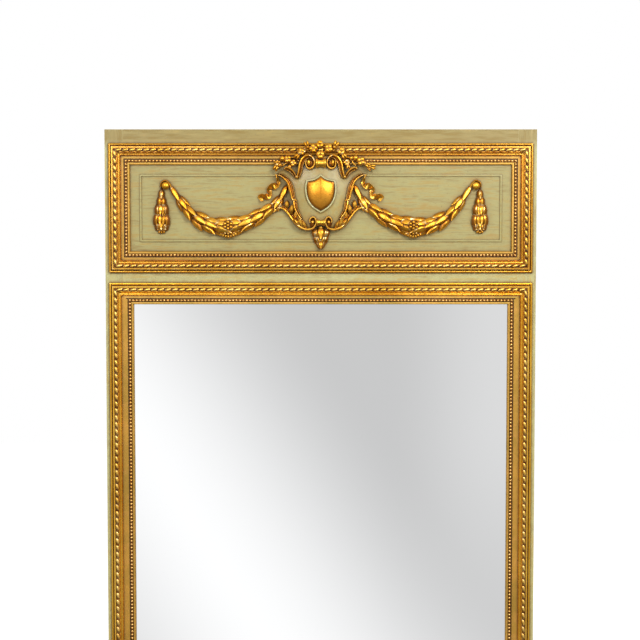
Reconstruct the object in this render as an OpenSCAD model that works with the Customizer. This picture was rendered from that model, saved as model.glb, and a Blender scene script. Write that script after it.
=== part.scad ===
// Pier mirror: a painted timber frame holding a mirror plate under a panel
// with carved and gilded ornament. It faces -Y and stands on z = 0, with
// y = 0 in the middle of the timber's thickness.

/* [Frame timber] */
// Overall width
frame_w = 1035; // [980:5:1200]
// Thickness of the stiles and rails
frame_t = 30; // [28:1:40]
// Width of each stile
stile_w = 44.5; // [42:0.5:52]
// Length of the tenons on the rails
tenon_l = 30; // [20:1:36]
// Thickness of the tenons
tenon_t = 10; // [8:1:12]
// Radius of the pegs that lock the tenons
peg_r = 4; // [3:0.5:5]

/* [Openings] */
// Height of the carved panel inside its mouldings
panel_h = 206; // [204:2:240]
// Height of the mirror inside its mouldings
mirror_h = 1280; // [1000:10:1400]
// Bare timber above the upper moulding
top_margin = 33; // [24:1:60]
// Bare timber between the two moulding frames
mid_margin = 23.5; // [15:0.5:60]
// Bare timber under the lower moulding
bottom_margin = 33; // [24:1:60]
// Bare timber beside the mouldings
side_margin = 9; // [6:0.5:10]
// How far the mouldings reach over the openings above and below
overhang = 17; // [12:1:20]

/* [Mouldings] */
// Width of the outer rope moulding
rope_w = 30; // [28:0.5:31]
// Height of the outer bead
bead_h = 8; // [7:0.5:9]
// Height of the fillet beside the rope
fillet_h = 13; // [12:0.5:14]
// Height of the seat that the rope is glued to
seat_h = 11; // [10:0.5:11.5]
// Width of the rope
rope_d = 10; // [9:0.5:10]
// Spacing of the rope's strands
rope_pitch = 16.5; // [15:0.5:20]
// Width of the inner slip above and below each opening
slip_w = 22; // [20:0.5:24]
// Width of the inner slip beside the mirror
side_slip_w = 29.5; // [24:0.5:31]
// Width of the inner slip beside the panel
panel_slip_w = 22; // [20:0.5:24]
// Height of the slip's flat
flat_h = 6; // [5:0.5:8]
// Height of the seat that the pearls are glued to
pearl_seat_h = 2; // [1.5:0.5:3]
// Radius of a pearl
pearl_r = 3.6; // [2.5:0.1:3.8]
// Spacing of the pearls
pearl_pitch = 8.2; // [8:0.1:10]

/* [Panel] */
// Thickness of the panel board
panel_t = 12; // [9:1:14]
// Thickness of the panel's battens
batten_t = 14; // [10:1:15]
// Width of the thin fillet planted on the panel
line_w = 6.5; // [5:0.5:8]
// Height of the thin fillet
line_h = 2.5; // [2:0.5:3]
// Distance of the thin fillet from the mouldings
line_inset = 21; // [19:1:23]

/* [Carving] */
// Thickness of the cartouche's ground
ground_t = 17; // [16.5:0.5:20]
// Rise of the cartouche's painted middle above its ground
field_rise = 4; // [2:0.5:4]
// Width of the cartouche's gilt strap
strap_w = 7; // [6:0.5:8]
// Height of the cartouche's gilt strap
strap_h = 9; // [7:0.5:12]
// Rise of the shield
shield_rise = 8; // [5:0.5:10]
// Height of the garlands at their fullest
garland_h = 23; // [18:1:26]
// Widest part of the garlands
garland_w = 47; // [40:1:47]
// Radius of the pegs that the garlands hang on
knob_r = 9; // [7:0.5:10]

/* [Mirror and back] */
// Thickness of the mirror plate
glass_t = 5; // [4:0.5:6]
// Gap round the mirror plate and the panel board
edge_gap = 1.5; // [1:0.5:3]
// Side of the glue blocks behind the plate
block_s = 12; // [8:1:12]
// Length of a glue block
block_l = 40; // [25:5:60]
// Thickness of the backboards
board_t = 8; // [6:1:8]
// Width of the rebate that the backboards lie in
rebate_w = 12; // [10:1:13]
// Gap between backboards
board_gap = 2; // [1:0.5:4]

/* [Hangers] */
// Height of the hangers' pivots, as a distance below the frame's top
hanger_drop = 400; // [250:10:600]
// Radius of a hanging ring's wire
ring_wire_r = 2; // [1.5:0.25:2.5]
// Inside width of a hanging ring
ring_w = 24; // [22:1:28]
// Distance from the pivot to the bend of a hanging ring
ring_drop = 12; // [10:1:16]
// Width of a hanger's strap
strap_plate_w = 15; // [12:1:18]
// Length of a hanger's strap
strap_plate_l = 62; // [56:2:90]
// Thickness of a hanger's strap
strap_plate_t = 1.6; // [1:0.2:1.6]
// Radius of the screws' shanks
screw_r = 2; // [1.5:0.25:2]
// Length of the screws
screw_l = 20; // [16:1:24]

/* [Hidden] */
$fn = 32;

paint = "#b9ad74";
gilt = "#c8963c";
wash = "#c5a05a";
raw_wood = "#8a6a45";
steel = "#8d8f92";

fit_gap = 0.2;
pin_gap = 0.05;
eps = 0.5;

// Levels through the thickness
face_y = -frame_t / 2;
back_y = frame_t / 2;

// Heights of the stack, from the bottom up
trim_h = rope_w + slip_w;
mirror_z0 = bottom_margin + trim_h;
mirror_z1 = mirror_z0 + mirror_h;
panel_z0 = mirror_z1 + trim_h + mid_margin + trim_h;
panel_z1 = panel_z0 + panel_h;
frame_h = panel_z1 + trim_h + top_margin;
mirror_cz = (mirror_z0 + mirror_z1) / 2;
panel_cz = (panel_z0 + panel_z1) / 2;

// Widths of the openings inside the mouldings
trim_outer_w = frame_w - 2 * side_margin;
panel_w = trim_outer_w - 2 * (rope_w + panel_slip_w);
mirror_w = trim_outer_w - 2 * (rope_w + side_slip_w);

// Openings in the timber, which the mouldings reach over
hole_w = frame_w - 2 * stile_w;
mirror_hole_z0 = mirror_z0 - overhang;
mirror_hole_z1 = mirror_z1 + overhang;
panel_hole_z0 = panel_z0 - overhang;
panel_hole_z1 = panel_z1 + overhang;

// Moulding details
bead_w = 6;
quirk_w = 2.5;
outer_fillet_w = 3.5;
quirk_h = 4;
cove_w = 4;
rope_y = bead_w + quirk_w + outer_fillet_w + rope_d / 2;
rope_gap = 0.25;
rope_lean = 30;
rod_facets = 5;
score_w = 1.6;
score_depth = 0.45;
pearl_base_t = 2;
lift = 0.1;
inner_fillet_w = 5.5;
inner_fillet_h = 7;
sight_h = 3;
pearl_y = inner_fillet_w + pearl_r + fit_gap;

// The ornament is drawn in millimetres for a panel this wide and high, and follows another one
drawn_panel = [913, 206];
carve = panel_h / drawn_panel[1];
reach = panel_w / drawn_panel[0];

// Carving levels: the straps and roses stand clear of the rope
over_trim = seat_h + rope_d / 2 + fit_gap;
ground_top = max(ground_t, over_trim);
field_top = ground_top + field_rise;

// Backboards
board_count = 4;
board_run = mirror_hole_z1 - mirror_hole_z0 + 2 * rebate_w - 2 * fit_gap;
board_w = hole_w + 2 * rebate_w - 2 * fit_gap;
board_h = (board_run - (board_count - 1) * board_gap) / board_count;
board_z0 = mirror_hole_z0 - rebate_w + fit_gap;
screw_x = board_w / 2 - rebate_w / 2;
screw_head_r = screw_r * 2;
screw_cover = 1;
strap_screw_l = frame_t / 2 - tenon_t / 2 + strap_plate_t - screw_cover;

// Hangers
hanger_x = frame_w / 2 - stile_w / 2;
hanger_z = frame_h - hanger_drop;
knuckle_r = ring_wire_r + 2;
knuckle_y = back_y + knuckle_r;
strap_holes = [18, 44];

function flip(points) = [for (p = points) [-p[0], p[1]]];
function reverse(list) = [for (i = [len(list) - 1:-1:0]) list[i]];
function blend(a, b, t) = a + (b - a) * t;

// A smooth line through a few points
function curve_at(a, b, c, d, t) =
    ((2 * b) + (c - a) * t + (2 * a - 5 * b + 4 * c - d) * t * t
    + (3 * b - a - 3 * c + d) * t * t * t) / 2;
function smooth(points, steps) = let (last = len(points) - 1) concat(
    [for (i = [0:last - 1], s = [0:steps - 1])
        curve_at(points[max(i - 1, 0)], points[i], points[i + 1], points[min(i + 2, last)], s / steps)],
    [points[last]]);

function spiral(centre, r0, r1, a0, a1, steps) = [for (i = [0:steps])
    let (t = i / steps, a = blend(a0, a1, t), r = blend(r0, r1, t))
    centre + r * [cos(a), sin(a)]];

function unit(v) = v / max(norm(v), 0.001);
function tangent(line, i) = let (last = len(line) - 1)
    unit(line[min(i + 1, last)] - line[max(i - 1, 0)]);
function value_at(list, t) = let (n = len(list) - 1, i = min(floor(t * n), n - 1))
    blend(list[i], list[i + 1], t * n - i);

// A strip carved along a line: flat underneath, crowned on top
module strip(line, widths, heights, base) {
    last = len(line) - 1;
    section = [[-1, 0], [1, 0], [0.85, 0.6], [0, 1], [-0.85, 0.6]];
    sides = len(section);
    points = [for (i = [0:last]) let (t = i / last, d = tangent(line, i), n = [-d[1], d[0]],
        w = value_at(widths, t) / 2, h = value_at(heights, t))
        for (s = section) let (p = line[i] + n * s[0] * w) [p[0], p[1], base + s[1] * h]];
    around = [for (i = [0:last - 1], s = [0:sides - 1]) let (r = (s + 1) % sides)
        for (f = [[i * sides + s, (i + 1) * sides + r, i * sides + r],
            [i * sides + s, (i + 1) * sides + s, (i + 1) * sides + r]]) f];
    polyhedron(points, concat(around, [[for (s = [0:sides - 1]) s],
        [for (s = [sides - 1:-1:0]) last * sides + s]]));
}

// Turns the drawing plane upright: x across, y up, z towards the viewer
module upright(z) translate([0, face_y, z]) rotate([90, 0, 0]) children();
module on_panel() upright(panel_cz) children();
module both() { children(); mirror([1, 0, 0]) children(); }

module block(x0, x1, y0, y1, z0, z1) translate([x0, y0, z0]) cube([x1 - x0, y1 - y0, z1 - z0]);

// Timber frame
rail_spans = [[0, mirror_hole_z0], [mirror_hole_z1, panel_hole_z0], [panel_hole_z1, frame_h]];
tenon_shoulder = 12;

module tenon(span, gap) {
    inner = frame_w / 2 - stile_w;
    block(inner - 1, inner + tenon_l + gap * 4, -tenon_t / 2 - gap, tenon_t / 2 + gap,
        span[0] + tenon_shoulder - gap, span[1] - tenon_shoulder + gap);
}

function peg_places() = [for (span = rail_spans, t = [0.3, 0.7])
    [frame_w / 2 - stile_w + tenon_l / 2, blend(span[0], span[1], t)]];
peg_l = frame_t - 6;

module peg_holes() for (p = peg_places())
    translate([p[0], back_y - peg_l - pin_gap, p[1]]) rotate([-90, 0, 0])
        cylinder(h = peg_l + eps, r = peg_r + pin_gap);

// The rebate behind the mirror opening that the backboards lie in
module board_rebate() block(-hole_w / 2 - rebate_w, hole_w / 2 + rebate_w, back_y - board_t,
    back_y + eps, mirror_hole_z0 - rebate_w, mirror_hole_z1 + rebate_w);

module stile() color(paint) difference() {
    block(frame_w / 2 - stile_w, frame_w / 2, face_y, back_y, 0, frame_h);
    for (span = rail_spans) tenon(span, fit_gap);
    peg_holes();
    board_rebate();
    screw_pilots();
}
module right_stile() stile();
module left_stile() mirror([1, 0, 0]) stile();

module rail(span) color(paint) difference() {
    union() {
        block(-hole_w / 2, hole_w / 2, face_y, back_y, span[0], span[1]);
        both() tenon(span, 0);
    }
    both() peg_holes();
    board_rebate();
}
module bottom_rail() rail(rail_spans[0]);
module middle_rail() rail(rail_spans[1]);
module top_rail() rail(rail_spans[2]);

module joint_pegs() color(raw_wood) both() for (p = peg_places())
    translate([p[0], back_y - peg_l, p[1]]) rotate([-90, 0, 0]) cylinder(h = peg_l, r = peg_r);

// Mouldings: drawn from the outer edge inwards, x along the run
module run(length) rotate([90, 0, 90]) linear_extrude(length) children();
module mitre(length, w, h, gap = 0) intersection() {
    children();
    linear_extrude(h) polygon([[gap, 0], [length - gap, 0], [length - w - gap, w], [w + gap, w]]);
}
module on_side(side, w, h) {
    if (side == "top") translate([w / 2, h / 2]) rotate(180) children();
    if (side == "bottom") translate([-w / 2, -h / 2]) children();
    if (side == "left") translate([-w / 2, h / 2]) rotate(-90) children();
    if (side == "right") translate([w / 2, -h / 2]) rotate(90) children();
}
function side_length(side, w, h) = (side == "top" || side == "bottom") ? w : h;
SIDES = ["top", "bottom", "left", "right"];

module rope_profile() {
    rope_end = rope_y + rope_d / 2;
    difference() {
        union() {
            translate([bead_w / 2, bead_h - bead_w / 2]) circle(bead_w / 2);
            square([bead_w, bead_h - bead_w / 2]);
            square([rope_w, quirk_h]);
            translate([bead_w + quirk_w, 0]) square([rope_w - bead_w - quirk_w, seat_h]);
            translate([bead_w + quirk_w, 0]) square([outer_fillet_w - rope_gap, fillet_h]);
        }
        translate([rope_end + cove_w, seat_h + 0.5]) circle(cove_w);
    }
}
trim_limit = 30;
module rope_moulding(side, w, h) color(gilt) {
    length = side_length(side, w, h);
    on_side(side, w, h) mitre(length, rope_w, trim_limit) run(length) rope_profile();
}

module slip_profile(w) {
    square([w - inner_fillet_w, pearl_seat_h]);
    square([w - inner_fillet_w - 2 * pearl_r - 2.5, flat_h]);
    translate([w - inner_fillet_w, 0])
        polygon([[0, 0], [inner_fillet_w, 0], [inner_fillet_w, sight_h],
            [inner_fillet_w * 0.7, inner_fillet_h], [0, inner_fillet_h]]);
}

// A slip's ends are mitred against its neighbours, which may be wider
module slip(side, w, h, own_w, next_w) color(wash) {
    length = side_length(side, w, h);
    on_side(side, w, h) intersection() {
        run(length) slip_profile(own_w);
        linear_extrude(trim_limit)
            polygon([[0, 0], [length, 0], [length - next_w, own_w], [next_w, own_w]]);
    }
}

// Rope: a half-round rod, planed in facets and scored aslant between its strands
module rope_run(side, w, h) {
    length = side_length(side, w, h);
    count = floor((length - 2 * rope_y) / rope_pitch);
    first = (length - count * rope_pitch) / 2;
    rod_r = rope_d / 2 - rope_gap;
    on_side(side, w, h) translate([0, 0, seat_h]) difference() {
        mitre(length, rope_w, rope_d, fit_gap) run(length) translate([rope_y, 0])
            polygon([for (a = [0:180 / rod_facets:180]) rod_r * [cos(a), sin(a)]]);
        for (i = [0:count]) translate([first + i * rope_pitch, rope_y, rod_r * score_depth])
            rotate(rope_lean) translate([-rope_d, -score_w / 2, 0]) cube([2 * rope_d, score_w, rope_d]);
    }
}

// Pearls: beads in a row on a glued strip
module pearl_run(side, w, h, own_w) {
    length = side_length(side, w, h);
    row_y = own_w - pearl_y;
    row_w = 2 * pearl_r - fit_gap;
    count = floor((length - 2 * pearl_y) / pearl_pitch);
    first = (length - (count - 1) * pearl_pitch) / 2;
    translate([0, 0, pearl_seat_h]) on_side(side, w, h) {
        translate([pearl_r, -row_w / 2, 0]) cube([length - 2 * pearl_r, row_w, pearl_base_t]);
        for (i = [0:count - 1])
            translate([first + i * pearl_pitch, 0, pearl_r + lift]) sphere(pearl_r - fit_gap);
    }
}

panel_trim_h = panel_h + 2 * trim_h;
mirror_trim_h = mirror_h + 2 * trim_h;
slip_outer_w = trim_outer_w - 2 * rope_w;

module panel_moulding(side) upright(panel_cz) rope_moulding(side, trim_outer_w, panel_trim_h);
module panel_moulding_top() panel_moulding("top");
module panel_moulding_bottom() panel_moulding("bottom");
module panel_moulding_left() panel_moulding("left");
module panel_moulding_right() panel_moulding("right");

module mirror_moulding(side) upright(mirror_cz) rope_moulding(side, trim_outer_w, mirror_trim_h);
module mirror_moulding_top() mirror_moulding("top");
module mirror_moulding_bottom() mirror_moulding("bottom");
module mirror_moulding_left() mirror_moulding("left");
module mirror_moulding_right() mirror_moulding("right");

module slip_at(side, cz, opening_h, side_w) upright(cz) {
    flat_side = side == "top" || side == "bottom";
    slip(side, slip_outer_w, opening_h + 2 * slip_w,
        flat_side ? slip_w : side_w, flat_side ? side_w : slip_w);
}
module panel_slip_top() slip_at("top", panel_cz, panel_h, panel_slip_w);
module panel_slip_bottom() slip_at("bottom", panel_cz, panel_h, panel_slip_w);
module panel_slip_left() slip_at("left", panel_cz, panel_h, panel_slip_w);
module panel_slip_right() slip_at("right", panel_cz, panel_h, panel_slip_w);
module mirror_slip_top() slip_at("top", mirror_cz, mirror_h, side_slip_w);
module mirror_slip_bottom() slip_at("bottom", mirror_cz, mirror_h, side_slip_w);
module mirror_slip_left() slip_at("left", mirror_cz, mirror_h, side_slip_w);
module mirror_slip_right() slip_at("right", mirror_cz, mirror_h, side_slip_w);

module panel_rope() color(gilt) upright(panel_cz)
    for (side = SIDES) rope_run(side, trim_outer_w, panel_trim_h);
module mirror_rope() color(gilt) upright(mirror_cz)
    for (side = SIDES) rope_run(side, trim_outer_w, mirror_trim_h);
module panel_pearls() color(gilt) upright(panel_cz)
    for (side = SIDES) pearl_run(side, panel_w + 2 * pearl_y, panel_h + 2 * pearl_y, pearl_y);
module mirror_pearls() color(gilt) upright(mirror_cz)
    for (side = SIDES) pearl_run(side, mirror_w + 2 * pearl_y, mirror_h + 2 * pearl_y, pearl_y);

// Panel board, its battens and the thin fillet planted on it
module upper_panel() color(paint) block(-hole_w / 2 + edge_gap, hole_w / 2 - edge_gap,
    face_y, face_y + panel_t, panel_hole_z0 + edge_gap, panel_hole_z1 - edge_gap);

module panel_battens() color(raw_wood) {
    y0 = face_y + panel_t;
    x1 = hole_w / 2;
    for (z = [panel_hole_z0, panel_hole_z1 - batten_t])
        block(-x1, x1, y0, y0 + batten_t, z, z + batten_t);
    both() block(x1 - batten_t, x1, y0, y0 + batten_t,
        panel_hole_z0 + batten_t, panel_hole_z1 - batten_t);
}

line_outer_w = panel_w - 2 * line_inset;
line_outer_h = panel_h - 2 * line_inset;
module panel_fillet() color(paint) on_panel() difference() {
    linear_extrude(line_h) difference() {
        square([line_outer_w, line_outer_h], center = true);
        square([line_outer_w - 2 * line_w, line_outer_h - 2 * line_w], center = true);
    }
    translate([0, 0, -eps]) linear_extrude(line_h + 2 * eps)
        offset(delta = fit_gap) polygon(cartouche_outline());
}

// Cartouche, drawn for the right half and mirrored
volute = [30, 105];
foot_volute = [24, -33];
notch = [56, 72];
ear_end = [87, 92];
side_line = [[105, 79], [95, 80], [85, 71], [75, 54], [68.5, 34], [66, 18], [60, 2], [53, -14], [49, -24]];
function half_outline() = concat(
    [[0, 119]], [[16, 119]], smooth([[30, 127], [45, 121], [55, 105], [57, 88]], 3), [notch],
    smooth([[64, 86], [74, 96], [84, 100]], 3), smooth([[108, 84], [98, 80], [86, 67], [74, 40], [70, 18],
        [60, -8], [53, -30], [42, -48], [24, -54]], 3), [[9, -45], [0, -45]]);
function cartouche_outline() = carve * concat(half_outline(), reverse(flip(half_outline())));

function shield_half(grow) = smooth([[0, 77 + grow * 1.2], [9, 69 + grow], [20, 64 + grow * 0.8],
    [33 + grow * 0.8, 62 + grow * 0.8]], 3);
function shield_side(grow) = smooth([[34 + grow, 50], [33.5 + grow, 36], [28 + grow, 18],
    [17 + grow * 0.9, 3], [0, -7 - grow * 1.3]], 3);
function shield_outline(grow) = let (half = concat(shield_half(grow), shield_side(grow)))
    carve * concat(half, reverse(flip([for (i = [1:len(half) - 2]) half[i]])));
shield_rim_w = 4.5;
shield_rim_h = 3;

module cartouche_field() color(paint) on_panel() {
    sight_edge = panel_h / 2 - fit_gap;
    difference() {
        linear_extrude(ground_top) polygon(cartouche_outline());
        translate([-frame_w / 2, sight_edge, -eps]) cube([frame_w, trim_h, over_trim + eps]);
    }
    // The painted middle swells in steps inside the straps and clear of the volutes
    for (step = [0:3]) translate([0, 0, ground_top]) linear_extrude(field_rise * (step + 1) / 4)
        offset(delta = -step * step * 1.2) difference() {
            offset(delta = -strap_w - 4) polygon(cartouche_outline());
            both() {
                translate(carve * volute) circle(24 * carve);
                translate(carve * foot_volute) circle(22 * carve);
            }
            for (y = [volute[1], foot_volute[1]]) translate([0, carve * y])
                square([2 * top_spool_l + 4, 24], center = true);
        }
}
top_spool_l = 10 * carve;
foot_spool_l = 6 * carve;

function strap_line() = concat(
    reverse(spiral(volute, 20, 3.5, 0, 520, 26)), smooth([[51.5, 97], [53, 86], notch], 3));
module scroll() {
    strip(carve * strap_line(), [3, 5, 6, strap_w], [strap_h * 1.3, strap_h * 1.2, strap_h], ground_top);
    strip(carve * smooth([notch, [64, 82], [72, 92], [80, 95], ear_end], 3),
        [strap_w, strap_w, 4], [strap_h, strap_h * 1.2], ground_top);
    strip(carve * smooth([for (i = [0:5]) side_line[i]], 3), [4, strap_w, strap_w], [strap_h, strap_h], ground_top);
    strip(carve * smooth([for (i = [5:8]) side_line[i] - [2, 1]], 3), [strap_w, strap_w], [strap_h, strap_h * 0.8],
        ground_top);
    strip(carve * concat(smooth([[50, -27], [47, -36], [40, -46]], 3), spiral(foot_volute, 17, 3.5, -55, -560, 26)),
        [strap_w, 6, 5, 3], [strap_h, strap_h * 1.2, strap_h * 1.3], ground_top);
}
module cartouche_scroll_right() color(gilt) on_panel() scroll();
module cartouche_scroll_left() color(gilt) on_panel() mirror([1, 0, 0]) scroll();

// A spool: a rod with a drawn-in waist, lying across between two volutes
module spool(half_l, end_r, waist_r) rotate([0, 90, 0]) rotate_extrude() difference() {
    translate([0, -half_l]) square([end_r, 2 * half_l]);
    bow = (half_l * half_l + (end_r - waist_r) * (end_r - waist_r)) / (2 * (end_r - waist_r));
    translate([waist_r + bow, 0]) circle(bow, $fn = 64);
}
spool_rest = 0.3;
module top_spool() color(gilt) on_panel()
    translate([0, carve * (volute[1] - 1), ground_top + 8 + spool_rest]) spool(top_spool_l, 8, 6);
module bottom_spool() color(gilt) on_panel()
    translate([0, carve * foot_volute[1], ground_top + 6 + spool_rest]) spool(foot_spool_l, 6, 4.5);

module shield_rim() color(paint) on_panel() translate([0, 0, field_top]) linear_extrude(shield_rim_h)
    difference() {
        polygon(shield_outline(shield_rim_w));
        polygon(shield_outline(fit_gap));
    }
module shield() color(gilt) on_panel() {
    steps = 6;
    centre = [0, 34 * carve];
    for (i = [0:steps]) let (t = i / (steps + 1), s = sqrt(1 - t * t))
        translate([centre[0], centre[1], field_top]) linear_extrude(shield_rise * (i + 1) / (steps + 1))
            scale(s) translate(-centre) polygon(shield_outline(0));
}

// A carved leaf: pointed, ridged along its middle
leaf_edge = 0.6;
module leaf(length, width, height) hull() {
    linear_extrude(leaf_edge) polygon([[0, 0], [length * 0.35, -width * 0.5],
        [length * 0.8, -width * 0.32], [length, 0], [length * 0.8, width * 0.32],
        [length * 0.35, width * 0.5]]);
    translate([length * 0.1, 0, 0]) linear_extrude(height)
        polygon([[0, -leaf_edge], [length * 0.7, 0], [0, leaf_edge]]);
}

// A small flower: a bud in a ring of petals
module flower(r, petals) {
    cylinder(h = r * 0.95, r1 = r * 0.5, r2 = r * 0.25, $fn = 5);
    for (i = [0:petals - 1]) rotate(i * 360 / petals) translate([r * 0.55, 0, 0.1])
        cylinder(h = r * 0.65, r1 = r * 0.46, r2 = r * 0.2, $fn = 5);
}
module stem(a, b, r, base) hull() for (p = [a, b]) translate([p[0], p[1], base])
    cylinder(h = 2 * r, r = r, $fn = 6);

// Roses over the crest, resting on the rope, and at each side, resting beside it
crest_base = over_trim;
spray_base = seat_h + fit_gap;
module crest_roses() color(gilt) on_panel() {
    drawn = [[-34, 148, 9], [-17, 142, 8], [0, 147, 8], [19, 142, 9], [33, 148, 9], [0, 126, 6],
        [-47, 136, 7], [47, 136, 7]];
    crest = [for (d = drawn) [d[0] * carve, d[1] * carve, d[2]]];
    for (c = crest) translate([c[0], c[1], crest_base]) flower(c[2], 5);
    for (i = [0:3]) stem(crest[i], crest[i + 1], 1.5, crest_base);
    stem(crest[2], crest[5], 1.5, crest_base);
    both() stem(crest[4], crest[7], 1.5, crest_base);
}
module rose_spray() {
    // Across, above the mouldings' inner edge, radius
    drawn = [[62.8, 21, 7], [64.8, 5, 6], [78, 14, 8], [89, 11, 9], [102, 4, 8], [106, -9, 6],
        [118, -4, 6]];
    spray = [for (d = drawn) [d[0] * carve, panel_h / 2 + d[1], d[2]]];
    for (s = spray) translate([s[0], s[1], spray_base]) flower(s[2], 5);
    for (i = [0:4]) stem(spray[i], spray[i + 1], 1.5, spray_base);
    stem(spray[4], spray[6], 1.5, spray_base);
}
module right_rose_spray() color(gilt) on_panel() rose_spray();
module left_rose_spray() color(gilt) on_panel() mirror([1, 0, 0]) rose_spray();

// Acanthus at the foot, growing out and up from the foot volute
module acanthus() {
    spine = smooth([[56, -38], [66, -29], [75, -21], [86, -13], [94, -11], [99, -15]], 3);
    strip(spine, [8, 11, 9, 4], [10, 12, 8, 5], 0);
    for (i = [0:3]) let (k = 2 + i * 3, p = spine[k], d = tangent(spine, k), a = atan2(d[1], d[0]))
        for (side = [-1, 1]) translate([p[0], p[1], 0.6 + 0.13 * i + 0.07 * side]) rotate(a + side * 32)
            leaf(15 - i * 1.5, 8, 9 - i);
}
module right_acanthus() color(gilt) on_panel() scale(carve) acanthus();
module left_acanthus() color(gilt) on_panel() mirror([1, 0, 0]) scale(carve) acanthus();

// Ribbon ends fluttering from the garland's tie
module ribbon() {
    line = smooth([[104, 70], [111, 64], [109, 56], [118, 49], [126, 44], [122, 33], [131, 26], [141, 24],
        [147, 19]], 3);
    strip(line, [4, 9, 6, 10, 6, 9, 4], [6, 9, 6, 9, 6, 9, 5], 0);
}
module right_ribbon() color(gilt) on_panel() scale(carve) ribbon();
module left_ribbon() color(gilt) on_panel() mirror([1, 0, 0]) scale(carve) ribbon();

// Pendant bud: rings of leaves over a core that ends in a point
bud_base = line_h + 0.5;
module pendant_bud() color(gilt) on_panel() translate([0, -55 * carve, bud_base]) scale(carve) {
    strip([[0, 4], [0, -8], [0, -22], [0, -34], [0, -42]], [10, 26, 22, 13, 2], [8, 16, 14, 9, 3], 0);
    // Each ring: its height, its leaves' length and their rise
    rings = [[3, 20, 13], [-9, 18, 13], [-20, 15, 10]];
    for (i = [0:len(rings) - 1], side = [-1, 0, 1]) let (ring = rings[i])
        translate([side * (8 - i), ring[0], 3.5 + 0.31 * side + 0.17 * i]) rotate(-90 + side * 14)
            leaf(ring[1], 10, ring[2] - 4 * abs(side));
}

// Garland: rows of laurel leaves from both ends towards the middle
garland_drawn = [[81, 50], [102, 16], [133, -8], [173, -34], [218, -46], [252, -45], [281, -35],
    [315, -10], [341, 26], [360, 46]];
garland_line = smooth(garland_drawn, 4);
garland_shape = [0.15, 0.42, 0.62, 0.82, 1, 0.95, 0.8, 0.6, 0.35, 0.2];
garland_mid = 0.5;
garland_start = garland_drawn[0][0];
// It starts at the cartouche and is stretched to end at the knob, wherever these are
knob_drawn = [371, 53];
knob_at = [knob_drawn[0] * reach, knob_drawn[1] * carve];
stretch = (knob_at[0] - garland_start * carve) / (knob_drawn[0] - garland_start);

module hung_garland() translate([garland_start * carve, 0, 0]) scale([stretch, carve, 1])
    translate([-garland_start, 0, 0]) garland();
module garland() {
    last = len(garland_line) - 1;
    core_w = [for (s = garland_shape) garland_w * s * 0.8];
    core_h = [for (s = garland_shape) garland_h * s * 0.75];
    strip(garland_line, core_w, core_h, 0);
    rows = 7;
    for (end = [0, 1], row = [0:rows - 1]) {
        t = end == 0 ? row * garland_mid / rows : 1 - row * (1 - garland_mid) / rows;
        k = round(t * last);
        p = garland_line[k];
        d = (end == 0 ? 1 : -1) * tangent(garland_line, k);
        w = value_at(garland_shape, t) * garland_w;
        h = value_at(garland_shape, t) * garland_h;
        for (side = [-1, 0, 1]) let (n = [-d[1], d[0]] * side * w * 0.27)
            translate([p[0] + n[0], p[1] + n[1],
                (side == 0 ? h * 0.35 : 0.6) + 0.13 * row + 0.07 * side + 0.03 * end])
                rotate(atan2(d[1], d[0]) + side * 7)
                    leaf(32 + w * 0.12, 4 + w * 0.28, h * (side == 0 ? 0.62 : 0.7));
    }
    middle = garland_line[round(garland_mid * last)];
    translate([middle[0], middle[1] + 5, garland_h * 0.72]) flower(9, 6);
}
module right_garland() color(gilt) on_panel() hung_garland();
module left_garland() color(gilt) on_panel() mirror([1, 0, 0]) hung_garland();

// Knobs that the garlands and drops hang from
module garland_knobs() color(gilt) on_panel() both() translate(knob_at) {
    cylinder(h = 10, r = knob_r * 0.6);
    translate([0, 0, 10]) intersection() {
        sphere(knob_r);
        translate([-knob_r, -knob_r, 0]) cube([2 * knob_r, 2 * knob_r, knob_r * 0.7]);
    }
}

// Drop: husks one below the other, ending in berries
drop_from_knob = 10;
module drop() translate([knob_at[0] + drop_from_knob, 0, 0]) scale(carve) {
    husks = [[44, 12, 10], [24, 22, 16], [-2, 32, 19], [-28, 38, 20]];
    strip([[0, 42], [0, 20], [0, -10], [0, -45]], [6, 16, 26, 30], [6, 10, 13, 13], 0);
    for (i = [0:len(husks) - 1]) let (husk = husks[i]) for (side = [-1, 0, 1])
        translate([side * husk[1] * 0.25, husk[0],
            (side == 0 ? husk[2] * 0.2 : 0.6) + 0.13 * i + 0.07 * side])
            rotate(-90 + side * 7)
                leaf(26, husk[1] * 0.5, husk[2] * (side == 0 ? 0.75 : 0.7));
    for (x = [-9, 0, 9]) translate([x, -55, 0]) cylinder(h = 10, r1 = 5.5, r2 = 3, $fn = 8);
}
module right_drop() color(gilt) on_panel() drop();
module left_drop() color(gilt) on_panel() mirror([1, 0, 0]) drop();

// Mirror plate, held by glue blocks and closed in by boards
glass_x = hole_w / 2 - edge_gap;
module mirror_plate() color("#cfd6d8") block(-glass_x, glass_x, face_y, face_y + glass_t,
    mirror_hole_z0 + edge_gap, mirror_hole_z1 - edge_gap);

// A three-cornered block with one side on the plate and one on the timber
module glue_block() linear_extrude(block_l, center = true)
    polygon([[0, 0], [-block_s, 0], [0, block_s]]);
module glass_blocks() color(raw_wood) {
    y0 = face_y + glass_t;
    both() for (t = [0.12, 0.37, 0.63, 0.88])
        translate([hole_w / 2, y0, blend(mirror_hole_z0, mirror_hole_z1, t)]) glue_block();
    for (t = [-0.3, 0, 0.3]) {
        translate([t * hole_w, y0, mirror_hole_z1]) rotate([0, -90, 0]) glue_block();
        translate([t * hole_w, y0, mirror_hole_z0]) rotate([0, 90, 0]) glue_block();
    }
}

function board_z(i) = board_z0 + i * (board_h + board_gap);
function board_screws() = [for (i = [0:board_count - 1], t = [0.2, 0.8]) board_z(i) + t * board_h];

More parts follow.
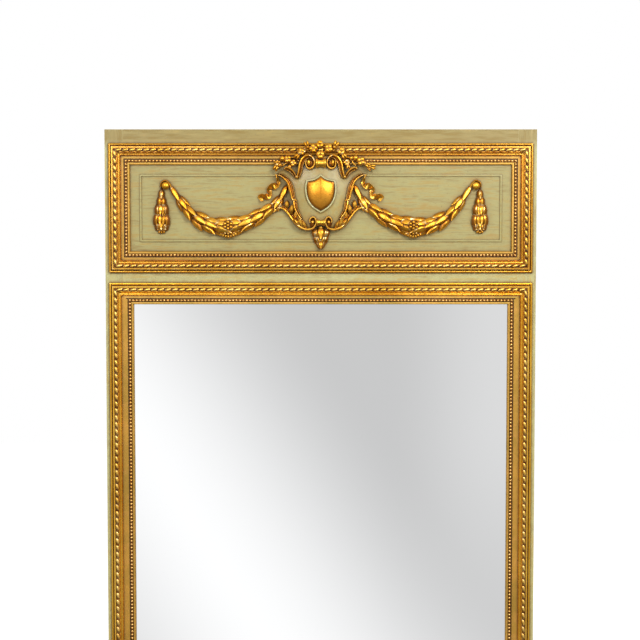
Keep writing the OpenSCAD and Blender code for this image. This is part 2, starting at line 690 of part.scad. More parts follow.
module screw_shape(length, grow) {
    translate([0, 0, -length]) cylinder(h = length, r = screw_r + grow);
    translate([0, 0, -screw_r]) cylinder(h = screw_r, r1 = screw_r + grow, r2 = screw_head_r + grow);
}
module back_screw(x, y, z, length, grow) translate([x, y, z]) rotate([-90, 0, 0])
    screw_shape(length, grow);

module backboard(i) color(raw_wood) difference() {
    block(-board_w / 2, board_w / 2, back_y - board_t, back_y, board_z(i), board_z(i) + board_h);
    both() for (z = board_screws()) back_screw(screw_x, back_y, z, screw_l, pin_gap);
}
module backboard_1() backboard(0);
module backboard_2() backboard(1);
module backboard_3() backboard(2);
module backboard_4() backboard(3);

strap_face_y = back_y + strap_plate_t;
module all_screws(grow) {
    for (z = board_screws()) back_screw(screw_x, back_y, z, screw_l, grow);
    for (d = strap_holes)
        back_screw(hanger_x, strap_face_y, hanger_z - d, strap_screw_l, grow);
}
module screw_pilots() all_screws(pin_gap);
module back_screws() color(steel) both() all_screws(0);

// Hangers: a screwed strap with a rolled eye, and a ring turning in it
eye_l = strap_plate_w - 3;
module hanger_strap() color(steel) difference() {
    union() {
        block(hanger_x - strap_plate_w / 2, hanger_x + strap_plate_w / 2, back_y, strap_face_y,
            hanger_z - strap_plate_l, hanger_z - knuckle_r);
        block(hanger_x - eye_l / 2, hanger_x + eye_l / 2, back_y, strap_face_y,
            hanger_z - knuckle_r - 1, hanger_z);
        translate([hanger_x, knuckle_y, hanger_z]) rotate([0, 90, 0])
            cylinder(h = eye_l, r = knuckle_r, center = true);
    }
    translate([hanger_x, knuckle_y, hanger_z]) rotate([0, 90, 0])
        cylinder(h = eye_l + 2 * eps, r = ring_wire_r + pin_gap, center = true);
    for (d = strap_holes) back_screw(hanger_x, strap_face_y, hanger_z - d, screw_l, pin_gap);
}
module right_hanger_strap() hanger_strap();
module left_hanger_strap() mirror([1, 0, 0]) hanger_strap();

// The ring's straight bar runs through the eye; its bow hangs below
ring_half = ring_w / 2 + ring_wire_r;
module hanging_ring() color(steel) translate([hanger_x, knuckle_y, hanger_z]) {
    rotate([0, 90, 0]) cylinder(h = 2 * ring_half, r = ring_wire_r, center = true);
    both() {
        translate([ring_half, 0, 0]) sphere(ring_wire_r);
        translate([ring_half, 0, -ring_drop]) cylinder(h = ring_drop, r = ring_wire_r);
    }
    translate([0, 0, -ring_drop]) rotate([-90, 0, 0]) rotate_extrude(angle = 180)
        translate([ring_half, 0]) circle(ring_wire_r);
}
module right_hanging_ring() hanging_ring();
module left_hanging_ring() mirror([1, 0, 0]) hanging_ring();

left_stile();
right_stile();
top_rail();
middle_rail();
bottom_rail();
joint_pegs();
upper_panel();
panel_fillet();
panel_battens();
panel_moulding_top();
panel_moulding_bottom();
panel_moulding_left();
panel_moulding_right();
mirror_moulding_top();
mirror_moulding_bottom();
mirror_moulding_left();
mirror_moulding_right();
panel_slip_top();
panel_slip_bottom();
panel_slip_left();
panel_slip_right();
mirror_slip_top();
mirror_slip_bottom();
mirror_slip_left();
mirror_slip_right();
panel_rope();
mirror_rope();
panel_pearls();
mirror_pearls();
cartouche_field();
cartouche_scroll_left();
cartouche_scroll_right();
top_spool();
bottom_spool();
shield_rim();
shield();
crest_roses();
left_rose_spray();
right_rose_spray();
left_acanthus();
right_acanthus();
left_ribbon();
right_ribbon();
pendant_bud();
left_garland();
right_garland();
garland_knobs();
left_drop();
right_drop();
mirror_plate();
glass_blocks();
backboard_1();
backboard_2();
backboard_3();
backboard_4();
back_screws();
left_hanger_strap();
right_hanger_strap();
left_hanging_ring();
right_hanging_ring();
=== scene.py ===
import math
import random

import bpy
from mathutils import Matrix, Vector
from mathutils.geometry import delaunay_2d_cdt

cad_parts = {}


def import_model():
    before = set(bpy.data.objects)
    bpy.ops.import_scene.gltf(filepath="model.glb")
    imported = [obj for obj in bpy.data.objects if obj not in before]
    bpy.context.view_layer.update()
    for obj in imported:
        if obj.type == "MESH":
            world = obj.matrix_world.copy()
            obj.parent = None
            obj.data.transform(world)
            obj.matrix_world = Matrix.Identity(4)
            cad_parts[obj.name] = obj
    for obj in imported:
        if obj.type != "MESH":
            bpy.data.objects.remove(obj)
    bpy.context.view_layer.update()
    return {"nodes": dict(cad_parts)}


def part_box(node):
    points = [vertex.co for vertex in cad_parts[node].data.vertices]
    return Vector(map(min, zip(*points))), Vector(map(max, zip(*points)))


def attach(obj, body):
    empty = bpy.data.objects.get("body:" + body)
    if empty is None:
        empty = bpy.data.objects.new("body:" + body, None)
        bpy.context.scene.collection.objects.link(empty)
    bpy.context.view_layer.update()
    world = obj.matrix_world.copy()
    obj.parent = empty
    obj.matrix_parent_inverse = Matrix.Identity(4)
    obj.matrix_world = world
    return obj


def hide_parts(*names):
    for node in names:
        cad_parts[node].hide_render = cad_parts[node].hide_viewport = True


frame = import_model()

# ---- places taken from the frame
MM = 0.001
FACE_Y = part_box("left_stile")[0].y
FRAME_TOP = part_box("top_rail")[1].z
BACK_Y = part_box("left_stile")[1].y
PANEL_Z = (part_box("panel_slip_bottom")[1].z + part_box("panel_slip_top")[0].z) / 2
MIRROR_Z = (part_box("mirror_slip_bottom")[1].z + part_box("mirror_slip_top")[0].z) / 2


def out_of_face(node):
    """How far a node starts and ends in front of the timber's face, in millimetres."""
    low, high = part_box(node)
    return (FACE_Y - high.y) / MM, (FACE_Y - low.y) / MM


ROPE_SEAT, ROPE_TOP = out_of_face("panel_rope")
PEARL_SEAT, PEARL_TOP = out_of_face("panel_pearls")
GROUND_TOP = out_of_face("cartouche_scroll_right")[0]
FIELD_TOP = out_of_face("shield")[0]
CREST_BASE = out_of_face("crest_roses")[0]
SPRAY_BASE = out_of_face("right_rose_spray")[0]

# ---- sizes in millimetres
ROPE_PITCH, ROPE_LEAN = 16.5, 26  # the lean of its strands is in degrees
STRAND_L, STRAND_W = 17.4, 7.5
ROPE_SWELL, ROPE_CORE = 1.1, 0.66  # the strands' and the core's radius, as shares of the rope's
PEARL_PITCH, PEARL_R = 8.2, 3.25
TOP_MARGIN = 46  # how far down the frame's top edge is worn
RIDGE_AT = 0.62  # where a strap's outer ridge runs, as a share of its half width
FILLET_W, FILLET_HALF_W, FILLET_HALF_H = 5.0, 434.2, 80.6
LEAF_L, LEAF_W = 45, 20  # the garland's largest leaf
LEAF_POINT, LEAF_ROOT = 0.045, 0.42  # the tip's share of the width, and the root's share of the length
LEAF_ACROSS = 7  # points across a leaf
GARLAND_ROWS = 6  # rings of leaves from either end to the middle
DROP_X = 381
KNOB_X, KNOB_Y = 371, 53

# The grain of a surface: how closely it is drawn along x, y and z
EVEN, UPRIGHT, LEVEL = (1.0, 1.0, 1.0), (3.0, 3.0, 0.35), (0.35, 3.0, 3.0)
WOOD_RINGS = 22.0


# ---- meshes
class Form:
    """Points and faces gathered in panel millimetres: x across, y up, z out of the panel.

    Each point has a share of old glaze and painted shade, which the gilding shows as brown in the carved
    lines, in the gaps between parts and under them."""

    def __init__(self):
        self.points, self.faces, self.glaze_and_shade = [], [], []

    def add(self, points, faces, place=None, glaze_and_shade=0.0):
        first = len(self.points)
        self.points += [place @ Vector(p) if place else Vector(p) for p in points]
        self.glaze_and_shade += list(glaze_and_shade) if isinstance(glaze_and_shade, (list, tuple)) else [glaze_and_shade] * len(points)
        turned = place is not None and place.determinant() < 0
        for f in faces:
            f = [i + first for i in f]
            self.faces.append(f[::-1] if turned else f)

    def mirrored(self):
        other = Form()
        other.add(self.points, self.faces, Matrix.Scale(-1, 4, (1, 0, 0)), self.glaze_and_shade)
        return other


def to_world(z):
    """From panel millimetres to the row frame, round a height z."""
    return (Matrix.Translation((0, FACE_Y, z)) @ Matrix.Rotation(math.pi / 2, 4, "X")
            @ Matrix.Scale(MM, 4))


def new_object(name, mesh):
    made = bpy.data.objects.new(name, mesh)
    bpy.context.scene.collection.objects.link(made)
    return made


def make_mesh(name, form, z=None, sharp=40):
    mesh = bpy.data.meshes.new(name)
    place = to_world(z) if z is not None else Matrix.Identity(4)
    mesh.from_pydata([place @ p for p in form.points], [], form.faces)
    mesh.polygons.foreach_set("use_smooth", [True] * len(mesh.polygons))
    mesh.set_sharp_from_angle(angle=math.radians(sharp))
    layer = mesh.attributes.new("glaze_and_shade", "FLOAT", "POINT")
    layer.data.foreach_set("value", form.glaze_and_shade)
    mesh.update()
    return mesh


def add_piece(name, form, material, nodes, sharp=40, z=PANEL_Z):
    piece = new_object(name, make_mesh(name, form, z, sharp))
    piece.data.materials.append(material)
    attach(piece, "frame")
    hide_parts(*nodes)


def add_pair(name, form, material, node, sharp=45, left_form=None):
    """The right piece of a pair and its mirrored left one; {} in the node's name stands for the side."""
    for side, made in (("right", form), ("left", (left_form or form).mirrored())):
        add_piece(f"{name}_{side}", made, material, [node.format(side)], sharp)


def lerp(a, b, t):
    return a + (b - a) * t


def value_at(values, t):
    last = len(values) - 1
    i = min(int(t * last), last - 1)
    return lerp(values[i], values[i + 1], t * last - i)


def ease(t):
    t = max(0.0, min(1.0, t))
    return t * t * (3 - 2 * t)


def smooth_line(points, steps):
    """A smooth line through a few points."""
    points = [Vector(p) for p in points]
    last = len(points) - 1
    line = []
    for i in range(last):
        a, b, c, d = points[max(i - 1, 0)], points[i], points[i + 1], points[min(i + 2, last)]
        for s in range(steps):
            t = s / steps
            line.append((2 * b + (c - a) * t + (2 * a - 5 * b + 4 * c - d) * t * t
                         + (3 * b - a - 3 * c + d) * t ** 3) / 2)
    return line + [points[last]]


def spread(line, step):
    """The same line with its points evenly spaced."""
    lengths = [0.0]
    for a, b in zip(line, line[1:]):
        lengths.append(lengths[-1] + (b - a).length)
    count = max(2, round(lengths[-1] / step))
    even, k = [], 0
    for i in range(count + 1):
        s = lengths[-1] * i / count
        while k < len(line) - 2 and lengths[k + 1] < s:
            k += 1
        span = max(lengths[k + 1] - lengths[k], 1e-9)
        even.append(line[k].lerp(line[k + 1], min(1, (s - lengths[k]) / span)))
    return even


def side_of(line, i):
    a, b = line[max(i - 1, 0)], line[min(i + 1, len(line) - 1)]
    d = (b - a).normalized()
    return d, Vector((-d.y, d.x))


def tube_faces(rings, n, order=(0, 1, 2, 3), closed=False):
    """The faces between rings of n points, and over the two ends unless the last ring joins the first.

    The order gives each face's corners: 0 and 1 lie on its own ring, 2 and 3 on the next."""
    faces = []
    for i in range(rings if closed else rings - 1):
        for k in range(n):
            m, after = (k + 1) % n, (i + 1) % rings
            corners = i * n + k, i * n + m, after * n + m, after * n + k
            faces.append([corners[c] for c in order])
    if not closed:
        ends = list(range(n))[::-1], [(rings - 1) * n + k for k in range(n)]
        faces += ends if order == (0, 1, 2, 3) else [end[::-1] for end in ends]
    return faces


def sweep(form, line, widths, heights, base, profile):
    """A closed bar along a flat line. The profile goes round it: (across -1..1, up 0..1, glaze and painted
    shade).
    """
    points, glaze_and_shade = [], []
    for i, p in enumerate(line):
        t = i / (len(line) - 1)
        side = side_of(line, i)[1]
        w, h = value_at(widths, t) / 2, value_at(heights, t)
        for a, u, *dark in profile[::-1]:
            points.append((p.x + side.x * a * w, p.y + side.y * a * w, base + u * h))
            glaze_and_shade.append(dark[0] if dark else 0.0)
    form.add(points, tube_faces(len(line), len(profile)), None, glaze_and_shade)


def grid_form(form, rows, base, place, glaze_and_shade):
    """A carved patch: rows of points on top, a wall round it and a flat underside at base."""
    nu, nv = len(rows), len(rows[0])
    points = [Vector(p) for row in rows for p in row]
    dark = [g for row in glaze_and_shade for g in row]
    faces = [[i * nv + k, (i + 1) * nv + k, (i + 1) * nv + k + 1, i * nv + k + 1]
             for i in range(nu - 1) for k in range(nv - 1)]
    rim = ([i * nv for i in range(nu)] + [(nu - 1) * nv + k for k in range(1, nv)]
           + [i * nv + nv - 1 for i in range(nu - 2, -1, -1)] + [k for k in range(nv - 2, 0, -1)])
    first = len(points)
    for r in rim:
        p = points[r]
        points.append(Vector((p.x, p.y, base(p) if callable(base) else base)))
        # The wall round the patch is painted dark, as shade
        dark.append(0.9)
    count = len(rim)
    for k in range(count):
        m = (k + 1) % count
        faces.append([rim[m], rim[k], first + k, first + m])
    left = [first + k for k in range(nu)]
    right = [first + (nu - 1) + (nv - 1) + k for k in range(nu)][::-1]
    for i in range(nu - 1):
        faces.append([left[i], right[i], right[i + 1], left[i + 1]])
    far = [first + nu - 1 + k for k in range(nv)]
    near = [first] + [first + count - k for k in range(1, nv)]
    faces.append(far[::-1])
    faces.append(near)
    form.add(points, faces, place, dark)


# ---- carved parts of the ornament
def leaf(form, place, length, width, height, thickness=2.2, dark=0.9, outline=1.5, groove=0.3, lift=0.2, nu=9,
         curl=0.0, tip=0.16, widest=0.42):
    """A carved leaf along +x: two full halves with a groove between, browned with glaze and painted shade at
    its root and its rim.
    """
    rows, glaze_and_shade = [], []
    for i in range(nu):
        t = i / (nu - 1)
        body = math.sin(math.pi * t ** (math.log(0.5) / math.log(widest)))
        w = width / 2 * (tip * (1 - t) + (1 - tip * 0.6) * max(body, 0.0) ** 0.75)
        if i == nu - 1:
            w = width * LEAF_POINT
        rows.append([])
        glaze_and_shade.append([])
        for k in range(LEAF_ACROSS):
            a = lerp(-1, 1, k / (LEAF_ACROSS - 1))
            crown = (1 - abs(a) ** 2.6) ** 0.6 if abs(a) < 1 else 0
            dip = groove * max(0, 1 - abs(a) * 3.2)
            z = height * (0.22 + 0.78 * crown * math.sin(math.pi * (0.12 + 0.76 * t)) - dip * (1 - t * 0.5))
            z += lift * length * t * t + curl * length * max(0, t - 0.6) ** 2
            rows[-1].append((length * t, a * w, z))
            glaze_and_shade[-1].append(dark * max(1 - t / LEAF_ROOT, (abs(a) - 0.5) * outline, 0.0))
    grid_form(form, rows, lambda p: lift * length * (p.x / length) ** 2 - thickness, place, glaze_and_shade)


def placed(x, y, z, turn=0.0, pitch=0.0, roll=0.0):
    """Moves a form that points along +x to a place on the panel, turned in degrees."""
    return (Matrix.Translation((x, y, z)) @ Matrix.Rotation(math.radians(turn), 4, "Z")
            @ Matrix.Rotation(math.radians(-pitch), 4, "Y") @ Matrix.Rotation(math.radians(roll), 4, "X"))


def ball(form, place, r, around, rings, dark):
    """A bead; painted shade darkens it towards its foot."""
    points, glaze_and_shade = [], []
    for j in range(1, rings):
        a = math.pi * j / rings
        for k in range(around):
            b = 2 * math.pi * k / around
            points.append((r * math.sin(a) * math.cos(b), r * math.sin(a) * math.sin(b), r * math.cos(a)))
            glaze_and_shade.append(max(0.0, min(1.0, dark - 1.3 * math.cos(a))))
    points += [(0, 0, r), (0, 0, -r)]
    glaze_and_shade += [0.0, 1.0]
    low, top = (rings - 2) * around, (rings - 1) * around
    faces = []
    for j in range(rings - 2):
        here, below = j * around, (j + 1) * around
        faces += [[here + k, below + k, below + (k + 1) % around, here + (k + 1) % around]
                  for k in range(around)]
    faces += [[top, k, (k + 1) % around] for k in range(around)]
    faces += [[top + 1, low + (k + 1) % around, low + k] for k in range(around)]
    form.add(points, faces, place, glaze_and_shade)


def turned(form, place, outline, around):
    """A turned form about the local x axis; the outline gives (along, radius) from end to end."""
    angles = [2 * math.pi * k / around for k in range(around)]
    points = [(x, r * math.cos(a), r * math.sin(a)) for x, r in outline for a in angles]
    form.add(points, tube_faces(len(outline), around, (3, 2, 1, 0)), place)


def egg(form, x, y, z, rx, ry, rz, turn=0.0, around=14, rings=8, dark=0.6):
    """A ball drawn out to three radii, turned in the panel's plane."""
    ball(form, placed(x, y, z, turn) @ Matrix.Diagonal((rx, ry, rz, 1)), 1.0, around, rings, dark)


def rose(form, x, y, base, r, turn, tilt, tilt_to, lobes):
    """A small open rose: plump petals round a hollow with a bead in it, painted dark as the hollow's shade.
    """
    stand = (Matrix.Translation((x, y, base + r * 0.4)) @ Matrix.Rotation(math.radians(tilt_to), 4, "Z")
             @ Matrix.Rotation(math.radians(tilt), 4, "Y")
             @ Matrix.Rotation(math.radians(-tilt_to + turn), 4, "Z"))
    for i in range(lobes):
        a = i * 2 * math.pi / lobes
        place = stand @ placed(r * 0.5 * math.cos(a), r * 0.5 * math.sin(a), r * 0.12, math.degrees(a), 14)
        ball(form, place @ Matrix.Diagonal((r * 0.6, r * 2.5 / lobes, r * 0.5, 1)), 1.0, 12, 7, 0.35)
    # The bead in the hollow is painted dark all over, as shade
    ball(form, stand @ placed(0, 0, r * 0.12) @ Matrix.Diagonal((1, 1, 0.6, 1)), r * 0.3, 10, 5, 2.4)


def bud(form, x, y, base, r, turn):
    """A closed rosebud lying along its stem, split into two plump petals, with a calyx."""
    place = placed(x, y, base + r * 0.7, turn)
    for side in (-1, 1):
        half = place @ placed(r * 0.25, side * r * 0.36, 0, side * 10)
        ball(form, half @ Matrix.Diagonal((r, r * 0.46, r * 0.66, 1)), 1.0, 12, 7, 0.3)
    calyx = place @ placed(-r * 0.8, 0, 0)
    ball(form, calyx @ Matrix.Diagonal((r * 0.5, r * 0.56, r * 0.5, 1)), 1.0, 10, 6, 0.3)


ROUND = [(math.cos(math.pi * (1 - k / 8)), math.sin(math.pi * (1 - k / 8))) for k in range(9)]
# A round bar painted dark all over, as the shade in the gaps between the leaves laid over it
SHADED_ROUND = [(a, u, 1.0) for a, u in ROUND]
# Profiles of a strap and a ridge: the third number is glaze and painted shade, dark down the sides and in a
# strap's channel
STRAP = [(-1, 0, 1), (-1, 0.5, 0.8), (-0.93, 0.72, 0.3), (-0.82, 0.84, 0), (-0.7, 0.82, 0),
         (-0.58, 0.68, 0.4), (-0.42, 0.58, 0.72), (-0.2, 0.6, 0.66), (0.0, 0.76, 0.3), (0.16, 0.9, 0),
         (0.36, 0.99, 0), (0.6, 1, 0), (0.8, 0.95, 0), (0.94, 0.76, 0.3), (1, 0.5, 0.8), (1, 0, 1)]
RIDGE = [(-1, 0, 1), (-1, 0.45, 0.8), (-0.78, 0.82, 0.15), (-0.3, 1, 0), (0.3, 1, 0), (0.78, 0.82, 0.15),
         (1, 0.45, 0.8), (1, 0, 1)]


def stem(form, points, r, base):
    line = spread(smooth_line(points, 5), 2.5)
    sweep(form, line, [r * 2, r * 2, r * 1.5], [r * 1.9, r * 1.9], base, ROUND)


# ---- shader groups
def new_group(name, inputs, outputs):
    """A shader group: inputs gives each one's default, a number or a vector, and the outputs are numbers."""
    group = bpy.data.node_groups.new(name, "ShaderNodeTree")
    for key, default in inputs.items():
        kind = "NodeSocketVector" if isinstance(default, tuple) else "NodeSocketFloat"
        group.interface.new_socket(key, in_out="INPUT", socket_type=kind).default_value = default
    for key in outputs:
        group.interface.new_socket(key, in_out="OUTPUT", socket_type="NodeSocketFloat")
    start, end = group.nodes.new("NodeGroupInput"), group.nodes.new("NodeGroupOutput")
    return group, Wiring(group), start.outputs, end


class Wiring:
    """Short calls for adding linked nodes to one tree."""

    def __init__(self, tree):
        self.tree = tree

    def node(self, kind, values=None, **settings):
        made = self.tree.nodes.new(kind)
        for key, value in settings.items():
            setattr(made, key, value)
        self.fill(made, values or {})
        return made

    def fill(self, node, values):
        """Sets a node's inputs, each to a value or to another node's output."""
        for key, value in values.items():
            if isinstance(value, bpy.types.NodeSocket):
                self.tree.links.new(value, node.inputs[key])
            else:
                node.inputs[key].default_value = value

    def math(self, operation, a, b=0.0, clamp=False):
        return self.node("ShaderNodeMath", {0: a, 1: b}, operation=operation, use_clamp=clamp).outputs[0]

    def times(self, a, b, clamp=False):
        return self.math("MULTIPLY", a, b, clamp)

    def vectors(self, operation, *values):
        return self.node("ShaderNodeVectorMath", dict(enumerate(values)), operation=operation).outputs[0]

    def ramp(self, value, low, high, out_low=0.0, out_high=1.0, **settings):
        return self.node("ShaderNodeMapRange", {"Value": value, "From Min": low, "From Max": high,
                                                "To Min": out_low, "To Max": out_high}, **settings).outputs[0]

    def soft(self, *values):
        return self.ramp(*values, interpolation_type="SMOOTHSTEP")

    def mix(self, share, a, b, blend="MIX"):
        return self.node("ShaderNodeMix", {0: share, 6: a, 7: b}, data_type="RGBA",
                         blend_type=blend).outputs[2]

    def layers(self, colour, *laid_on):
        """Lays tints over a colour; each comes with the share of it that shows."""
        for share, tint in laid_on:
            colour = self.mix(share, colour, tint)
        return colour

    def noise(self, vector, scale, detail=3.0, rough=0.55):
        return self.node("ShaderNodeTexNoise", {"Vector": vector, "Scale": scale, "Detail": detail,
                                                "Roughness": rough}).outputs["Fac"]

    def place(self):
        return self.node("ShaderNodeTexCoord").outputs["Object"]

    # The meshes' share of old glaze and painted shade
    def glaze_and_shade(self):
        return self.node("ShaderNodeAttribute", attribute_name="glaze_and_shade").outputs["Fac"]

    def open_share(self, radius, samples, inside=False):
        return self.node("ShaderNodeAmbientOcclusion", {"Distance": radius}, samples=samples,
                         inside=inside).outputs["AO"]

    def group(self, tree, values):
        return self.node("ShaderNodeGroup", values, node_tree=tree).outputs

    def old_glaze(self, radius, low, high, patchiness=0.3):
        return self.group(CREVICES, {"Radius": radius, "Low": low, "High": high, "Patchiness": patchiness})

    def rubbed(self, radius, amount):
        return self.group(RUBBED_AND_HIGHLIT, {"Radius": radius, "Amount": amount})["Edge"]

    def surface(self, brush, craze, grain=EVEN):
        return self.group(SURFACE, {"Grain": grain, "Brush scale": brush, "Craze scale": craze})

    def bump(self, height, strength, distance=0.0005):
        return self.node("ShaderNodeBump", {"Height": height, "Strength": strength,
                                            "Distance": distance}).outputs[0]


def crevice_group():
    group, w, given, end = new_group("Old glaze and painted shade in the recesses", {
        "Radius": 0.006, "Low": 0.35, "High": 0.85, "Patchiness": 0.4}, ["Recess", "Shade"])
    # Recess and Shade are ambient occlusion masks, for old glaze and painted shade in the recesses and the
    # hollows
    patch = w.math("SUBTRACT", w.noise(w.place(), 90.0), 0.5)
    openness = w.math("ADD", w.open_share(given["Radius"], 8), w.times(patch, given["Patchiness"]))
    w.fill(end, {"Recess": w.ramp(openness, given["High"], given["Low"]),
                 "Shade": w.ramp(openness, 0.98, 0.5)})
    return group


def rubbed_group():
    group, w, given, end = new_group("Rubbed high edges and painted highlights", {"Radius": 0.0012, "Amount": 1.0}, ["Edge"])
    # A mask of the high convex edges, which the materials paint paler: wear, and on the gilding a painted
    # highlight too
    near = w.ramp(w.open_share(given["Radius"], 6, True), 0.78, 0.42)
    broken = w.ramp(w.noise(w.place(), 160.0, 4.0, 0.6), 0.42, 0.6)
    w.fill(end, {"Edge": w.times(w.times(near, broken), given["Amount"], True)})
    return group


def surface_group():
    group, w, given, end = new_group("Brushed and crazed surface", {
        "Grain": EVEN, "Brush scale": 60.0, "Craze scale": 220.0}, ["Height", "Streak", "Cloud", "Speck"])
    place = w.place()
    along = w.vectors("MULTIPLY", place, given["Grain"])
    streak = w.noise(along, given["Brush scale"], 5.0, 0.6)
    craze = w.node("ShaderNodeTexVoronoi", {"Vector": place, "Scale": given["Craze scale"]},
                   feature="DISTANCE_TO_EDGE").outputs[0]
    cracks = w.ramp(craze, 0.0, 0.06)
    w.fill(end, {"Height": w.math("ADD", w.times(streak, 0.8), w.times(cracks, 0.12)), "Streak": streak,
                 "Cloud": w.noise(place, 9.0, 4.0, 0.6),
                 "Speck": w.ramp(w.noise(place, 240.0, 2.0, 0.5), 0.68, 0.76)})
    return group


def wood_group():
    group, w, given, end = new_group("Softwood grain", {"Grain": EVEN, "Rings": 60.0},
                                     ["Ring", "Fibre", "Stain"])
    place = w.place()
    along = w.vectors("MULTIPLY", place, given["Grain"])
    bend = w.noise(along, 3.0)
    bend = w.node("ShaderNodeCombineXYZ", {0: bend, 1: bend, 2: bend}).outputs[0]
    bent = w.vectors("MULTIPLY_ADD", bend, (0.12, 0.12, 0.12), along)
    ring = w.node("ShaderNodeTexWave", {"Vector": bent, "Scale": given["Rings"], "Distortion": 2.0,
                                        "Detail": 2.0}, wave_type="BANDS", bands_direction="DIAGONAL")
    w.fill(end, {"Ring": ring.outputs["Fac"], "Fibre": w.noise(along, 300.0, 4.0, 0.65),
                 "Stain": w.noise(place, 5.0, 4.0, 0.6)})
    return group


CREVICES, RUBBED_AND_HIGHLIT, SURFACE, WOOD = crevice_group(), rubbed_group(), surface_group(), wood_group()


def new_material(name):
    material = bpy.data.materials.new(name)
    material.use_nodes = True
    tree = material.node_tree
    return material, Wiring(tree), tree.nodes["Principled BSDF"]


def pine(w, wood):
    """The colour of bare pine with its rings, and the brown stain to lay over it."""
    colour = w.mix(w.ramp(wood["Ring"], 0.35, 0.8), (0.30, 0.185, 0.095, 1), (0.205, 0.12, 0.058, 1))
    return colour, (w.ramp(wood["Stain"], 0.42, 0.7, 0.0, 0.6), (0.125, 0.078, 0.044, 1))


def gilding(name, radius=0.006, low=0.22, high=0.66, rub_and_highlight=1.0, bright=(0.90, 0.50, 0.062, 1),
            deep=(0.66, 0.29, 0.014, 1), glaze_and_shade=0.8):
    """Water gilding, rubbed on the high places with a painted highlight there, and browned by glaze and
    painted shade in the recesses.
    """
    material, w, shader = new_material(name)
    hollow_glaze_and_shade = w.old_glaze(radius, low, high)
    edge = w.rubbed(0.0016, rub_and_highlight)
    surface = w.surface(140.0, 420.0)
    # The meshes' glaze and shade attribute paints brown shade into the gaps between parts and under them
    line = w.times(w.glaze_and_shade(), w.ramp(surface["Cloud"], 0.3, 0.7, 0.8, 1.15))
    shade = w.math("MAXIMUM", w.times(hollow_glaze_and_shade["Shade"], glaze_and_shade), w.ramp(line, 0.0, 0.6))
    recess = w.math("MAXIMUM", hollow_glaze_and_shade["Recess"], w.ramp(line, 0.5, 1.05))
    # Glaze and painted shade in the recesses, and a pale colour on the high edges that is partly wear and
    # partly a painted highlight
    colour = w.layers(bright, (w.ramp(surface["Cloud"], 0.35, 0.66), deep), (shade, (0.42, 0.15, 0.008, 1)),
                      (w.times(edge, 0.75), (1.0, 0.80, 0.40, 1)),
                      (w.times(surface["Speck"], 0.5), (0.30, 0.10, 0.03, 1)),
                      (recess, (0.085, 0.024, 0.002, 1)))
    w.fill(shader, {"Base Color": colour, "Metallic": w.ramp(recess, 0.0, 1.0, 0.9, 0.1),
                    "Specular IOR Level": w.ramp(recess, 0.0, 1.0, 0.5, 0.12),
                    "Roughness": w.ramp(surface["Streak"], 0.3, 0.7, 0.24, 0.38), "Coat Weight": 0.03,
                    "Coat Roughness": 0.3, "Normal": w.bump(surface["Height"], 0.35, 0.0004)})
    return material


def wash(name, toned=(1, 1, 1, 1)):
    """A dull gold wash over paint, mottled green and brown."""
    material, w, shader = new_material(name)
    recess = w.old_glaze(0.008, 0.3, 0.9)["Recess"]
    surface = w.surface(70.0, 300.0)
    gold = w.layers((0.68, 0.385, 0.07, 1), (w.ramp(surface["Cloud"], 0.38, 0.62), (0.50, 0.31, 0.055, 1)),
                    (w.ramp(surface["Streak"], 0.5, 0.72, 0.0, 0.5), (0.74, 0.40, 0.12, 1)))
    # The recesses are darkened with old glaze and painted shade
    colour = w.mix(recess, w.mix(1.0, gold, toned, "MULTIPLY"), (0.09, 0.03, 0.004, 1))
    w.fill(shader, {"Base Color": colour, "Metallic": w.ramp(recess, 0.0, 1.0, 0.55, 0.1),
                    "Roughness": w.ramp(surface["Streak"], 0.3, 0.7, 0.36, 0.52),
                    "Normal": w.bump(surface["Height"], 0.3, 0.0004)})
    return material


